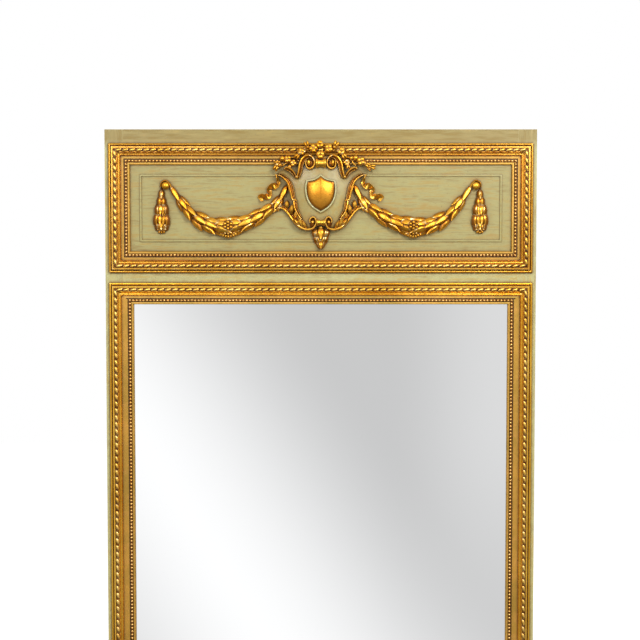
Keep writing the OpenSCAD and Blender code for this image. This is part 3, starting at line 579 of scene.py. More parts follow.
def paint(name, grain, tone=(0.505, 0.44, 0.165, 1), warm=(0.515, 0.37, 0.098, 1), gloss=0.46,
          toned=(1, 1, 1, 1), coat=0.05, back=BACK_Y):
    """Old sage-green paint with brush marks, yellowed varnish, and dirt and painted shade beside the
    mouldings and in the creases.

    It is worn brown under the frame's top edge, and the timber is bare on its rear face."""
    material, w, shader = new_material(name)
    # Dirt and painted shade beside the mouldings, and painted shade in the creases
    near = w.old_glaze(0.026, 0.4, 1.0, 0.5)["Recess"]
    tight = w.old_glaze(0.006, 0.35, 0.9, 0.2)["Recess"]
    edge = w.rubbed(0.0012, 0.7)
    surface = w.surface(55.0, 260.0, grain)
    streak, cloud, place = surface["Streak"], surface["Cloud"], w.place()
    where = w.node("ShaderNodeSeparateXYZ", {0: place}).outputs
    top = w.ramp(where["Z"], FRAME_TOP - TOP_MARGIN * MM, FRAME_TOP - TOP_MARGIN * MM * 0.5)
    worn = w.times(top, w.ramp(streak, 0.3, 0.62, 0.62, 1.0), True)
    # On the cartouche the meshes' glaze and shade attribute lays on dirt and painted shade, and takes the
    # gloss off there
    dirt = w.times(w.glaze_and_shade(), w.ramp(cloud, 0.3, 0.7, 0.7, 1.2), True)
    colour = w.layers(tone, (w.ramp(cloud, 0.36, 0.64), warm),
                      (w.ramp(w.noise(place, 26.0, 5.0, 0.65), 0.5, 0.7, 0.0, 0.75), (0.50, 0.335, 0.10, 1)),
                      (w.ramp(streak, 0.36, 0.54, 0.0, 0.9), (0.50, 0.51, 0.25, 1)),
                      (w.ramp(streak, 0.5, 0.7, 0.0, 0.75), (0.37, 0.265, 0.085, 1)),
                      (worn, (0.272, 0.186, 0.036, 1)))
    colour = w.layers(w.mix(1.0, colour, toned, "MULTIPLY"), (dirt, (0.22, 0.125, 0.028, 1)),
                      (w.times(near, 0.7), (0.32, 0.20, 0.045, 1)),
                      (w.times(tight, 0.9), (0.075, 0.045, 0.012, 1)),
                      (w.times(surface["Speck"], 0.6), (0.20, 0.15, 0.06, 1)),
                      (w.times(edge, 0.6), (0.70, 0.62, 0.36, 1)))
    bare, stain = pine(w, w.group(WOOD, {"Grain": grain, "Rings": WOOD_RINGS}))
    colour = w.mix(w.ramp(where["Y"], back - 0.0008, back - 0.0003), colour, w.layers(bare, stain))
    w.fill(shader, {"Base Color": colour, "Roughness": w.ramp(streak, 0.3, 0.7, gloss - 0.06, gloss + 0.08),
                    "Coat Weight": w.ramp(dirt, 0.05, 0.45, coat, 0.0), "Coat Roughness": 0.16,
                    "Specular IOR Level": w.ramp(dirt, 0.1, 0.6, 0.5, 0.1),
                    "Normal": w.bump(surface["Height"], 0.3)})
    return material


def bare_wood(name, grain):
    material, w, shader = new_material(name)
    wood = w.group(WOOD, {"Grain": grain, "Rings": WOOD_RINGS})
    # Painted shade darkens the recesses
    recess = w.old_glaze(0.012, 0.3, 0.85)["Recess"]
    bare, stain = pine(w, wood)
    colour = w.layers(bare, (w.ramp(wood["Fibre"], 0.4, 0.7, 0.0, 0.45), (0.36, 0.235, 0.13, 1)), stain,
                      (w.times(recess, 0.7), (0.03, 0.018, 0.01, 1)))
    height = w.math("ADD", w.times(wood["Ring"], 0.5), wood["Fibre"])
    w.fill(shader, {"Base Color": colour, "Roughness": w.ramp(wood["Fibre"], 0.3, 0.7, 0.7, 0.88),
                    "Normal": w.bump(height, 0.4, 0.0006)})
    return material


def dull_steel(name):
    material, w, shader = new_material(name)
    # Painted shade darkens the recesses
    recess = w.old_glaze(0.003, 0.3, 0.9, 0.4)["Recess"]
    edge = w.rubbed(0.0008, 1.0)
    surface = w.surface(300.0, 500.0, (1.0, 1.0, 0.2))
    colour = w.layers((0.33, 0.33, 0.34, 1), (w.ramp(surface["Cloud"], 0.4, 0.65), (0.21, 0.20, 0.19, 1)),
                      (w.times(surface["Speck"], 0.8), (0.20, 0.075, 0.03, 1)),
                      (w.times(edge, 0.6), (0.62, 0.62, 0.62, 1)),
                      (w.times(recess, 0.8), (0.05, 0.035, 0.025, 1)))
    w.fill(shader, {"Base Color": colour, "Metallic": 0.9,
                    "Roughness": w.ramp(surface["Streak"], 0.3, 0.7, 0.34, 0.55),
                    "Normal": w.bump(surface["Height"], 0.2, 0.0003)})
    return material


def silvered_glass(name):
    """Silvered plate: bright, with faint grey foxing by the edges and hardly any wave."""
    material, w, shader = new_material(name)
    place = w.place()
    fox = w.ramp(w.noise(place, 38.0, 5.0, 0.7), 0.66, 0.8, 0.0, 0.5)
    recess = w.old_glaze(0.02, 0.3, 0.9)["Recess"]
    colour = w.mix(w.times(fox, recess), (0.955, 0.96, 0.965, 1), (0.42, 0.38, 0.32, 1))
    w.fill(shader, {"Base Color": colour, "Metallic": 1.0,
                    "Roughness": w.ramp(w.noise(place, 14.0), 0.3, 0.7, 0.012, 0.03),
                    "Normal": w.bump(w.noise(place, 2.2, 1.0), 0.05, 0.002)})
    return material


GILT = gilding("Gilding")
GILT_ROPE = gilding("Rope gilding", 0.004, 0.25, 0.75, 1.8, (1.0, 0.655, 0.17, 1), (0.84, 0.46, 0.055, 1))
GILT_TRIM = gilding("Moulding gilding", 0.0045, 0.3, 0.8, 0.8, (0.89, 0.51, 0.055, 1),
                    (0.67, 0.32, 0.018, 1), 0.85)
GILT_DULL = gilding("Old moulding gilding", 0.0045, 0.3, 0.85, 0.7, (0.68, 0.36, 0.045, 1),
                    (0.50, 0.22, 0.014, 1), 0.9)
GILT_TOP = gilding("Browned moulding gilding", 0.0045, 0.3, 0.88, 0.6, (0.54, 0.285, 0.036, 1),
                   (0.40, 0.18, 0.013, 1), 0.95)
GILT_PEARL = gilding("Pearl gilding", 0.003, 0.3, 0.8, 1.8, (1.0, 0.64, 0.23, 1), (0.84, 0.43, 0.09, 1), 0.5)
GILT_SHIELD = gilding("Shield gilding", 0.008, 0.2, 0.6, 0.3, (0.64, 0.30, 0.03, 1),
                      (0.44, 0.17, 0.01, 1), 0.85)
GILT_ROSE = gilding("Rose gilding", 0.005, 0.3, 0.74, 1.3)
GILT_LEAF = gilding("Leaf gilding", 0.005, 0.3, 0.75, 1.3, (0.86, 0.46, 0.05, 1), (0.62, 0.26, 0.012, 1))
# A darker copy of the wash, for the mirror's side slips and the panel's slips
WASH, WASH_DARKER = wash("Gold wash"), wash("Darker gold wash", (0.86, 0.79, 0.63, 1))
PAINT_UPRIGHT, PAINT_LEVEL = paint("Painted stile", UPRIGHT), paint("Painted rail", LEVEL)
PAINT_PANEL = paint("Painted panel", LEVEL, toned=(0.74, 0.68, 0.55, 1), back=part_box("upper_panel")[1].y)
PAINT_FIELD = paint("Painted cartouche", EVEN, (0.52, 0.41, 0.125, 1), (0.48, 0.34, 0.09, 1), 0.34,
                    (0.80, 0.72, 0.54, 1), 0.9)
PAINT_RIM = paint("Painted rim", EVEN, (0.55, 0.46, 0.22, 1), (0.50, 0.38, 0.15, 1), 0.28, coat=0.5)
PINE_LEVEL = bare_wood("Bare pine, level", (0.12, 2.5, 1.6))
PINE_UPRIGHT = bare_wood("Bare pine, upright", (1.6, 2.5, 0.12))
STEEL, PLATE = dull_steel("Dull steel"), silvered_glass("Silvered plate")


# ---- what repeats, by Geometry Nodes
def copies_tree(name, pitched):
    """Copies of one carved form: along lines at an even pitch, or at points that give turn and size."""
    tree = bpy.data.node_groups.new(name, "GeometryNodeTree")
    for key in ("Geometry", "Pitch", "Copy", "Material") if pitched else ("Geometry", "Copy", "Material"):
        kind = {"Pitch": "Float", "Copy": "Object"}.get(key, key)
        tree.interface.new_socket(key, in_out="INPUT", socket_type="NodeSocket" + kind)
    tree.interface.new_socket("Geometry", in_out="OUTPUT", socket_type="NodeSocketGeometry")
    w, given = Wiring(tree), tree.nodes.new("NodeGroupInput").outputs
    if pitched:
        curve = w.node("GeometryNodeMeshToCurve", {"Mesh": given["Geometry"]}).outputs[0]
        even = w.node("GeometryNodeCurveToPoints", {"Curve": curve, "Length": given["Pitch"]},
                      mode="LENGTH").outputs
        turn = w.node("FunctionNodeAlignRotationToVector", {"Vector": even["Tangent"]}, axis="X",
                      pivot_axis="Z")
        places = {"Points": even["Points"], "Rotation": turn.outputs[0]}
    else:
        turn, size = (w.node("GeometryNodeInputNamedAttribute", {"Name": key},
                             data_type="FLOAT_VECTOR").outputs[0] for key in ("turn", "size"))
        places = {"Points": given["Geometry"], "Scale": size,
                  "Rotation": w.node("FunctionNodeEulerToRotation", {0: turn}).outputs[0]}
    copy = w.node("GeometryNodeObjectInfo", {"Object": given["Copy"]}).outputs["Geometry"]
    copies = w.node("GeometryNodeInstanceOnPoints", {**places, "Instance": copy}).outputs[0]
    real = w.node("GeometryNodeRealizeInstances", {0: copies}).outputs[0]
    done = w.node("GeometryNodeSetMaterial", {"Geometry": real, "Material": given["Material"]}).outputs[0]
    w.fill(tree.nodes.new("NodeGroupOutput"), {0: done})
    return tree


RUN_TREE, SET_OUT_TREE = copies_tree("Copies along a run", True), copies_tree("Copies set out", False)


def add_copies(form, name, mesh, tree, copy_form, values, material):
    """Adds to a form the copies that a tree makes from a mesh, in panel millimetres."""
    source = new_object(name + "_copy", make_mesh(name + "_copy", copy_form))
    carrier = new_object(name + "_carrier", mesh)
    modifier = carrier.modifiers.new("Copies", "NODES")
    modifier.node_group = tree
    values = {**values, "Copy": source, "Material": material}
    for item in tree.interface.items_tree:
        if item.item_type == "SOCKET" and item.in_out == "INPUT" and item.name in values:
            modifier[item.identifier] = values[item.name]
    graph = bpy.context.evaluated_depsgraph_get()
    made = bpy.data.meshes.new_from_object(carrier.evaluated_get(graph), depsgraph=graph)
    carrier.modifiers.remove(modifier)
    glaze_and_shade = [0.0] * len(made.vertices)
    made.attributes["glaze_and_shade"].data.foreach_get("value", glaze_and_shade)
    form.add([v.co for v in made.vertices], [list(p.vertices) for p in made.polygons], None, glaze_and_shade)
    for helper in (carrier, source):
        bpy.data.objects.remove(helper)
    bpy.data.meshes.remove(made)


def set_out(form, name, places, copy_form, material):
    """Places: (position, turn in radians, size) for each copy of a form."""
    mesh = bpy.data.meshes.new(name + "_places")
    mesh.from_pydata([p for p, _, _ in places], [], [])
    for key, at in (("turn", 1), ("size", 2)):
        layer = mesh.attributes.new(key, "FLOAT_VECTOR", "POINT")
        layer.data.foreach_set("vector", [c for place in places for c in place[at]])
    add_copies(form, name, mesh, SET_OUT_TREE, copy_form, {}, material)


# ---- rope and pearls
def side_lines(half_w, half_h, level, inset, inset_upright):
    """A line for each side of a frame, kept short of the corners."""
    x, y = half_w - inset, half_h - inset_upright
    ends = [(-x, half_h), (x, half_h), (-x, -half_h), (x, -half_h), (-half_w, -y), (-half_w, y), (half_w, -y),
            (half_w, y)]
    mesh = bpy.data.meshes.new("lines")
    mesh.from_pydata([(*end, level) for end in ends], [(0, 1), (2, 3), (4, 5), (6, 7)], [])
    return mesh


def frame_bar(form, half_w, half_h, profile, glaze_and_shade):
    """A mitred bar round a frame; the profile gives (outwards from the line, out of the panel)."""
    points = [(sx * (half_w + a), sy * (half_h + a), u)
              for sx, sy in ((-1, -1), (1, -1), (1, 1), (-1, 1)) for a, u in profile]
    form.add(points, tube_faces(4, len(profile), (0, 3, 2, 1), True), None, glaze_and_shade)


def rope_strand():
    """One strand, leaning across a round rod and tapering under its neighbours."""
    rod = (ROPE_TOP - ROPE_SEAT) * ROPE_SWELL
    form, rows, glaze_and_shade = Form(), [], []
    lean = math.radians(ROPE_LEAN)
    for i in range(7):
        u = lerp(-1, 1, i / 6)
        w = STRAND_W / 2 * max(1 - abs(u) ** 2.6, 0.0) ** 0.5 + 0.3
        row = []
        for k in range(5):
            a = lerp(-1, 1, k / 4)
            along, across = u * STRAND_L / 2, a * w
            x = along * math.cos(lean) - across * math.sin(lean)
            y = along * math.sin(lean) + across * math.cos(lean)
            y = max(-rod * 0.97, min(rod * 0.97, y))
            skin = math.sqrt(max(rod * rod - y * y, 0))
            crown = max(1 - a * a, 0.0) ** 0.5 * (1 - abs(u) ** 4)
            row.append((x, y, skin * (0.6 + 0.4 * crown)))
        rows.append(row)
        # The strand's sides and ends are painted dark as shade where they pass under their neighbours
        glaze_and_shade.append([max(0.6 * abs(lerp(-1, 1, k / 4)) ** 3, (abs(u) - 0.66) * 2.4, 0.0) for k in range(5)])
    grid_form(form, rows, 0.0, None, glaze_and_shade)
    return form


def half_sizes(node, margin):
    """Half the width and height of a frame's node, less a margin, in millimetres."""
    low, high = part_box(node)
    return (high.x - low.x) / 2 / MM - margin, (high.z - low.z) / 2 / MM - margin


def add_rope(name, node, centre_z):
    form, rod = Form(), ROPE_TOP - ROPE_SEAT
    halves = half_sizes(node, rod)
    lines = side_lines(*halves, ROPE_SEAT, ROPE_PITCH * 0.55, ROPE_PITCH * 0.55)
    add_copies(form, name, lines, RUN_TREE, rope_strand(), {"Pitch": ROPE_PITCH}, GILT_ROPE)
    core, angles = rod * ROPE_CORE, [math.pi * k / 8 for k in range(9)]
    # The core between the strands is painted dark all over, as shade
    frame_bar(form, *halves, [(core * math.cos(a), ROPE_SEAT + core * math.sin(a)) for a in angles], 1.0)
    add_piece(name, form, GILT_ROPE, [node], 50, centre_z)


def add_pearls(name, node, centre_z):
    form, pearl = Form(), Form()
    halves = half_sizes(node, PEARL_R)
    ball(pearl, Matrix.Identity(4), PEARL_R, 10, 6, 0.35)
    lines = side_lines(*halves, PEARL_TOP - PEARL_R, 0, PEARL_PITCH)
    add_copies(form, name, lines, RUN_TREE, pearl, {"Pitch": PEARL_PITCH}, GILT_PEARL)
    # A bed under the pearls, painted dark as the shade between them
    bed = ((0.9, 0), (0.9, 1.2), (0.5, 2.2), (-0.5, 2.2), (-0.9, 1.2), (-0.9, 0))
    frame_bar(form, *halves, [(PEARL_R * a, PEARL_SEAT + u) for a, u in bed], 0.85)
    add_piece(name, form, GILT_PEARL, [node], 60, centre_z)


add_rope("rope_round_panel", "panel_rope", PANEL_Z)
add_rope("rope_round_mirror", "mirror_rope", MIRROR_Z)
add_pearls("pearls_round_panel", "panel_pearls", PANEL_Z)
add_pearls("pearls_round_mirror", "mirror_pearls", MIRROR_Z)

# ---- the cartouche
STRAP_BASE = GROUND_TOP - 6
SHIELD_EDGE = 0.4
CURL_RIM = [(34.6, 112), (35.6, 104), (33.4, 97), (27.5, 93.6), (21.2, 95.2), (16.4, 100.5), (14.8, 107.4),
            (16.6, 115), (21.5, 121.6), (27, 124.6)]
VOLUTE_RIM = [(15.6, 111), (17.4, 116.6), (22, 122), (29.2, 125.4), (38.7, 122.4), (45.5, 116), (49.8, 106.5),
              (51.7, 97), (53.6, 86), (57, 73.5)]
EAR_RIM = [(57.5, 73.5), (60.5, 80), (65, 87), (71, 92.5), (78, 96), (84, 96), (87, 92)]
SIDE_RIM = [(105.5, 78.7), (95.4, 75.4), (87.9, 70), (81.2, 62.6), (76.5, 52.5), (73.1, 39), (69.8, 25.6),
            (67.8, 18.2)]
LOWER_RIM = [(64.7, 19), (64, 8), (61.5, -3), (56.5, -13), (50.5, -21.5), (46.5, -27)]
FOOT_RIM = [(58.5, -35.5), (51.8, -43), (43.3, -48), (34, -50.6), (26.1, -50.4), (19.3, -48.3), (14.1, -42.7),
            (11.3, -34), (12.6, -26.3), (17.5, -22), (22.7, -23.6), (26.3, -29), (25.6, -35)]
NOTCH = (57.0, 73.0)
VOLUTE_EYE, FOOT_EYE = (28.6, 106.5), (19.4, -34.0)


def both_halves(half):
    """A closed outline from its right half, which starts and ends on the middle line."""
    return half + [Vector((-p.x, p.y)) for p in half][::-1][1:-1]


def ground_outline():
    top = smooth_line([(0, 112), (13, 112), (19, 122), (30, 126.5), (42, 122.5), (50.5, 112), (53.5, 98),
                       (55, 84), NOTCH, (63, 82), (71, 92), (80, 96), (87, 93)], 4)
    side = smooth_line([(87, 93), (97, 86.5), (107, 79), (97, 77.5), (86, 68), (77, 52), (71, 32), (67, 17),
                        (63, 0), (57, -18), (49, -34), (40, -46), (27, -50.5), (14, -45), (0, -41)], 4)
    return both_halves(top + side[1:])


def inside(p, outline):
    """Whether a point lies inside a closed outline."""
    hit = False
    for a, b in zip(outline, outline[1:] + outline[:1]):
        if (a.y > p.y) != (b.y > p.y) and p.x < (b.x - a.x) * (p.y - a.y) / (b.y - a.y) + a.x:
            hit = not hit
    return hit


def distance_to(p, outline):
    """How far a point is from a closed outline."""
    best = math.inf
    for a, b in zip(outline, outline[1:] + outline[:1]):
        ab = b - a
        t = max(0, min(1, (p - a).dot(ab) / max(ab.length_squared, 1e-9)))
        best = min(best, (a + ab * t - p).length)
    return best


def swelling(form, outline, step, height, base, glaze_and_shade):
    """A closed swelling form over an outline; height(p, distance to the edge) gives its top."""
    rim = spread(outline + outline[:1], step)[:-1]
    points = list(rim)
    left, right = min(p.x for p in rim), max(p.x for p in rim)
    low, high = min(p.y for p in rim), max(p.y for p in rim)
    row = 0
    y = low + step / 2
    while y < high:
        x = left + (step / 2 if row % 2 else 0)
        while x < right:
            p = Vector((x, y))
            if inside(p, rim) and distance_to(p, rim) > step * 0.55:
                points.append(p)
            x += step
        y += step * 0.866
        row += 1
    count = len(rim)
    around = [(k, (k + 1) % count) for k in range(count)]
    flat, _, faces, _, _, _ = delaunay_2d_cdt(points, around, [], 1, 1e-4)
    edge_d = [distance_to(p, rim) if i >= count else 0.0 for i, p in enumerate(flat)]
    top = [(p.x, p.y, height(p, d)) for p, d in zip(flat, edge_d)]
    bottom = [(p.x, p.y, base) for p in flat]
    dark = [glaze_and_shade(p, d) for p, d in zip(flat, edge_d)]
    n = len(flat)
    made, edges = [], {}
    for f in faces:
        a, b, c = (flat[i] for i in f[:3])
        f = list(f) if (b - a).cross(c - a) > 0 else list(f)[::-1]
        made.append(f)
        made.append([i + n for i in f][::-1])
        for i, k in zip(f, f[1:] + f[:1]):
            edges[(i, k)] = True
    walls = [[k, i, i + n, k + n] for i, k in edges if (k, i) not in edges]
    form.add(top + bottom, made + walls, None, dark + dark)


def cartouche():
    shield_edge = shield_line(5.5)

    def top(p, d):
        fall = min(1.0, math.hypot(p.x / 78, (p.y - 38) / 96))
        return lerp(FIELD_TOP + 1.8, GROUND_TOP - 4.5, fall) - 1.5 * (1 - ease(d / 5))

    # Dirt and painted shade on the field: dark by its edge, beside the shield except towards the upper right,
    # and towards the left
    def dirt(p, d):
        beside = 0.6 * math.exp(-distance_to(p, shield_edge) / 4.0) * ease((80 - p.x - p.y) / 60)
        return max(0.95 * math.exp(-d / 11), beside, 0.34 * ease((10 - p.x) / 60))
    field = Form()
    swelling(field, ground_outline(), 3.4, top, 0.0, dirt)
    add_piece("cartouche_field_carved", field, PAINT_FIELD, ["cartouche_field"], 50)


def shield_line(grow):
    """The shield's outline, grown by some millimetres."""
    corner = (30.5 + grow * 0.8, 61.5 + grow)
    head = smooth_line([(0, 75 + grow), (7, 69 + grow), (16, 64.2 + grow), corner], 4)
    side = smooth_line([corner, (32.6 + grow, 52), (32.4 + grow, 38), (28 + grow, 20),
                        (17.5 + grow * 0.8, 5 - grow * 0.6), (0, -6.5 - grow * 1.2)], 4)
    return both_halves(head + side[1:])


def shield_pieces():
    rise = out_of_face("shield")[1] - FIELD_TOP - SHIELD_EDGE

    def height(p, d):
        dome = max(0.0, 1 - (p.x / 34) ** 2 - ((p.y - 35) / 46) ** 2)
        ridge = 0.4 * math.exp(-abs(p.x) / 2.5)
        return FIELD_TOP + SHIELD_EDGE + rise * (0.1 * ease(d / 3) + 0.9 * dome) + ridge * ease(d / 6)

    # Glaze and painted shade on the shield: dark at its edge, darker towards its foot, and a faint dark line
    # down the middle
    def browned(p, d):
        return max(0.85 * math.exp(-d / 4.5), 0.4 * ease((26 - p.y) / 32), 0.16 * math.exp(-abs(p.x) / 2.0))
    shield, rim = Form(), Form()
    swelling(shield, shield_line(0), 2.4, height, FIELD_TOP - 6, browned)
    add_piece("shield_carved", shield, GILT_SHIELD, ["shield"], 60)
    line, points = shield_line(3.2), []
    profile = [(-2.4, -6), (-2.4, 1.4), (-1.6, 2.6), (-0.3, 3.0), (1.0, 2.4), (1.7, 1.0), (2.0, -6)]
    for i, p in enumerate(line):
        d = (line[(i + 1) % len(line)] - line[i - 1]).normalized()
        points += [(p.x - d.y * a, p.y + d.x * a, FIELD_TOP + u) for a, u in profile]
    rim.add(points, tube_faces(len(line), len(profile), (0, 3, 2, 1), True))
    add_piece("shield_rim_carved", rim, PAINT_RIM, ["shield_rim"], 50)


def fillet():
    """The thin planted fillet of the panel, stopped against the cartouche and the bud."""
    form = Form()
    w, h = FILLET_HALF_W, FILLET_HALF_H
    path = [((-103, h), (0, 1)), ((-w, h), (-1, 1)), ((-w, -h), (-1, -1)), ((-10, -h), (0, -1))]
    profile = [(0, 0), (0, 1.6), (-0.5, 2.3), (-1.3, 2.5), (1.3 - FILLET_W, 2.5), (0.5 - FILLET_W, 2.3),
               (-FILLET_W, 1.6), (-FILLET_W, 0)]
    points = [(p[0] + out[0] * a, p[1] + out[1] * a, u) for p, out in path for a, u in profile]
    form.add(points, tube_faces(len(path), len(profile), (0, 3, 2, 1)))
    other = form.mirrored()
    form.add(other.points, other.faces)
    add_piece("fillet_round_panel", form, PAINT_PANEL, ["panel_fillet"])


def rim_line(points, widths):
    """The middle of a strap whose raised outer ridge follows these points."""
    ridge = spread(smooth_line(points, 6), 1.6)
    last = len(ridge) - 1
    return [p - side_of(ridge, i)[1] * (value_at(widths, i / last) / 2 * RIDGE_AT)
            for i, p in enumerate(ridge)]


def strap(form, points, widths, heights, profile=STRAP):
    """A strap with a broad outer ridge, a channel and a low inner ridge, or one with a single ridge."""
    line = rim_line(points, widths) if profile is STRAP else spread(smooth_line(points, 6), 1.6)
    sweep(form, line, widths, heights, STRAP_BASE, profile)


def scroll():
    """Gilt strapwork of the right half: two volutes, the ear, the side straps and the leaves at the foot."""
    form = Form()
    strap(form, CURL_RIM, [4.8, 5.6, 6.2, 6.2, 5.8], [17.6, 17.4, 17, 16.6, 16.2], RIDGE)
    strap(form, VOLUTE_RIM, [6.0, 8.4, 11.5, 13.0, 12.5, 11.0, 8.5], [15.6, 16.2, 16.2, 16, 15.6, 15, 14])
    # A flat disc inside the volute's ring, painted dark all over as shade
    egg(form, 25.5, 108, STRAP_BASE + 5, 9.5, 14, 2.6, 0, 20, 6, 2.4)
    egg(form, VOLUTE_EYE[0] + 0.2, VOLUTE_EYE[1] + 0.5, STRAP_BASE + 11, 5.0, 8.4, 6.0)
    egg(form, NOTCH[0] + 0.3, NOTCH[1], STRAP_BASE + 10, 4.2, 3.6, 5.0)
    strap(form, EAR_RIM, [6, 8.5, 10, 10, 9], [13.5, 14.4, 15.4, 15.6, 14.6])
    strap(form, SIDE_RIM, [4.0, 7, 9.5, 11.5, 12.5, 12.5, 12, 11], [13, 14.4, 15, 15, 15, 14.8, 14.4, 14.6])
    egg(form, 106.2, 77.2, STRAP_BASE + 9.2, 3.6, 2.8, 4.0)
    egg(form, 63.6, 18.6, STRAP_BASE + 10.2, 5.8, 3.2, 4.8, 16)
    strap(form, LOWER_RIM, [9.5, 11, 10, 8, 6.5, 5], [13, 14.2, 14.4, 14, 13.4, 13])
    strap(form, FOOT_RIM, [5, 6.4, 7, 6.8, 6.2, 5.8, 5.6, 5.2, 4.8, 4.2],
          [12, 13.6, 14.4, 15, 15.6, 16, 16.4, 16.6], RIDGE)
    # A flat disc inside the foot volute's ring, painted dark all over as shade
    egg(form, FOOT_EYE[0], FOOT_EYE[1] - 1, STRAP_BASE + 5, 8, 11, 2.6, 0, 18, 6, 2.4)
    egg(form, *FOOT_EYE, STRAP_BASE + 11.4, 4.6, 4.6, 5.6)
    for x, y, turn, length, width, lift in ((34.5, -49.5, 66, 22, 9, 0.1), (41, -47.5, 62, 29, 12.5, 0.1),
                                            (49, -42.5, 50, 22, 9.5, 0.06)):
        leaf(form, placed(x, y, GROUND_TOP + 2.5, turn, 4), length, width, 7, thickness=8, lift=lift,
             curl=0.8, groove=0.12, tip=0.5, widest=0.55, nu=10, dark=0.5)
    return form


SPOOL = [(-1.0, 0.86), (-0.9, 0.98), (-0.76, 1.0), (-0.68, 0.9), (-0.5, 0.78), (-0.25, 0.71), (0, 0.69),
         (0.25, 0.71), (0.5, 0.78), (0.68, 0.9), (0.76, 1.0), (0.9, 0.98), (1.0, 0.86)]


def spools():
    for name, node, half_l, swell, eye in (("spool_top", "top_spool", 12.4, 1.36, VOLUTE_EYE),
                                           ("spool_foot", "bottom_spool", 10.2, 1.24, FOOT_EYE)):
        low, high = out_of_face(node)
        r = (high - low) / 2
        form = Form()
        turned(form, placed(0, eye[1] - 1, high - r) @ Matrix.Diagonal((1, swell, 1, 1)),
               [(x * half_l, k * r) for x, k in SPOOL], 32)
        add_piece(name, form, GILT, [node], 45)


cartouche()
shield_pieces()
fillet()
add_pair("strapwork", scroll(), GILT, "cartouche_scroll_{}", 40)
spools()


# ---- roses
def crest():
    form = Form()
    roses = [(-18, 141, 10.2, 10, 0, 4), (-2, 150.5, 8.8, 90, 20, 3), (19, 141, 10.2, 55, 10, 4),
             (-46.5, 133, 9.0, 35, -30, 4), (-1, 126, 9.6, 30, 0, 3), (48.5, 134, 8.6, 80, 30, 3)]
    for x, y, r, turn, lean_to, lobes in roses:
        rose(form, x, y, CREST_BASE - 1.5, r, turn, 12, lean_to + 90, lobes)
    for x, y, r, turn in ((-33, 149.5, 7.4, 112), (35.5, 149.5, 8.2, 62), (-55, 123.5, 7.4, 232),
                          (54.5, 124, 7.4, -58)):
        bud(form, x, y, CREST_BASE - 1, r, turn)
    for points in ([(-53, 126), (-40, 140), (-20, 143), (-2, 148), (18, 142), (38, 141), (53, 126)],
                   [(-18, 141), (-9, 131), (-1, 127)], [(19, 141), (8, 131), (0, 127)]):
        stem(form, points, 1.7, CREST_BASE - 1)
    for x, y, turn in ((-35, 139, 225), (37, 140, -45)):
        leaf(form, placed(x, y, CREST_BASE, turn, 14), 13, 9, 3, lift=0.1, dark=0.5)
    add_piece("roses_over_crest", form, GILT_ROSE, ["crest_roses"], 45)


def spray(roses, balls, buds, stems, leaves):
    form = Form()
    for x, y, r, turn, lean_to, lobes in roses:
        rose(form, x, y, SPRAY_BASE - 1, r, turn, 14, lean_to, lobes)
    for x, y, r in balls:
        egg(form, x, y, SPRAY_BASE + r * 0.8, r * 1.05, r, r)
    for x, y, r, turn in buds:
        bud(form, x, y, SPRAY_BASE, r, turn)
    for points in stems:
        stem(form, points, 1.8, SPRAY_BASE)
    for x, y, turn in leaves:
        leaf(form, placed(x, y, SPRAY_BASE + 1.5, turn, 12), 13, 8.5, 3.2, lift=0.12)
    return form


crest()
right_spray = spray([(61, 108, 8.2, 0, 30, 4), (96, 110.5, 10.4, 60, 10, 4)],
                    [(83, 118.5, 6.6), (73.5, 118.5, 5.0)],
                    [(110.5, 102.5, 7.4, -36), (122.5, 97.5, 7.2, -8), (65.5, 99, 6.0, -80)],
                    [[(60, 122), (68, 120), (80, 117), (92, 113), (104, 106), (118, 99)],
                     [(74, 113), (79, 105), (86, 99)]],
                    [(112, 99, -62), (70, 113, 200)])
left_spray = spray([(78.5, 115.5, 9.0, 40, 30, 4), (65.5, 107, 8.2, 15, 10, 4)], [(91.5, 117, 6.4)],
                   [(104, 107, 6.8, -20), (106.5, 96.5, 7.6, -62), (97, 103, 5.2, -100)],
                   [[(60, 122), (68, 120), (80, 117), (92, 113), (100, 108), (106, 99)],
                    [(74, 110), (84, 105), (95, 97)]],
                   [(99, 100, -42), (72, 104, -70)])
add_pair("rose_spray", right_spray, GILT_ROSE, "{}_rose_spray", left_form=left_spray)


# ---- acanthus, ribbons and bud
def acanthus():
    """One broad leaf that grows out of the foot, arches over and turns down, lobed along its upper side."""
    form = Form()
    line = spread(smooth_line([(116, -9), (110, -1), (101, 3), (90, 1.5), (80, -6), (71, -17), (63, -28),
                               (54, -40), (45, -49)], 6), 2.0)
    sweep(form, line, [5, 9, 10.5, 11.5, 12, 12.5, 12.5, 11, 8],
          [7, 10.5, 12, 12.5, 12.5, 12.5, 12.5, 12, 10], 0, STRAP)
    lobe = {"lift": 0.0, "tip": 0.5, "groove": 0.12}
    for at, length, width, away in ((0.90, 24, 13, 36), (0.74, 25, 14, 44), (0.57, 24, 14, 50),
                                    (0.40, 21, 13, 54), (0.24, 17, 11, 44)):
        i = round(at * (len(line) - 1))
        d, n = side_of(line, i)
        p = line[i] - n * 1.5
        place = placed(p.x, p.y, 9.5 if at > 0.5 else 6, math.degrees(math.atan2(-d.y, -d.x)) + away, 8)
        leaf(form, place, length, width, 7, thickness=9, curl=1.0, widest=0.62, nu=11, dark=0.3, **lobe)
    leaf(form, placed(106, 1.5, 4, -58, 4), 15, 10, 6, thickness=6, curl=0.6, dark=0.4, **lobe)
    return form


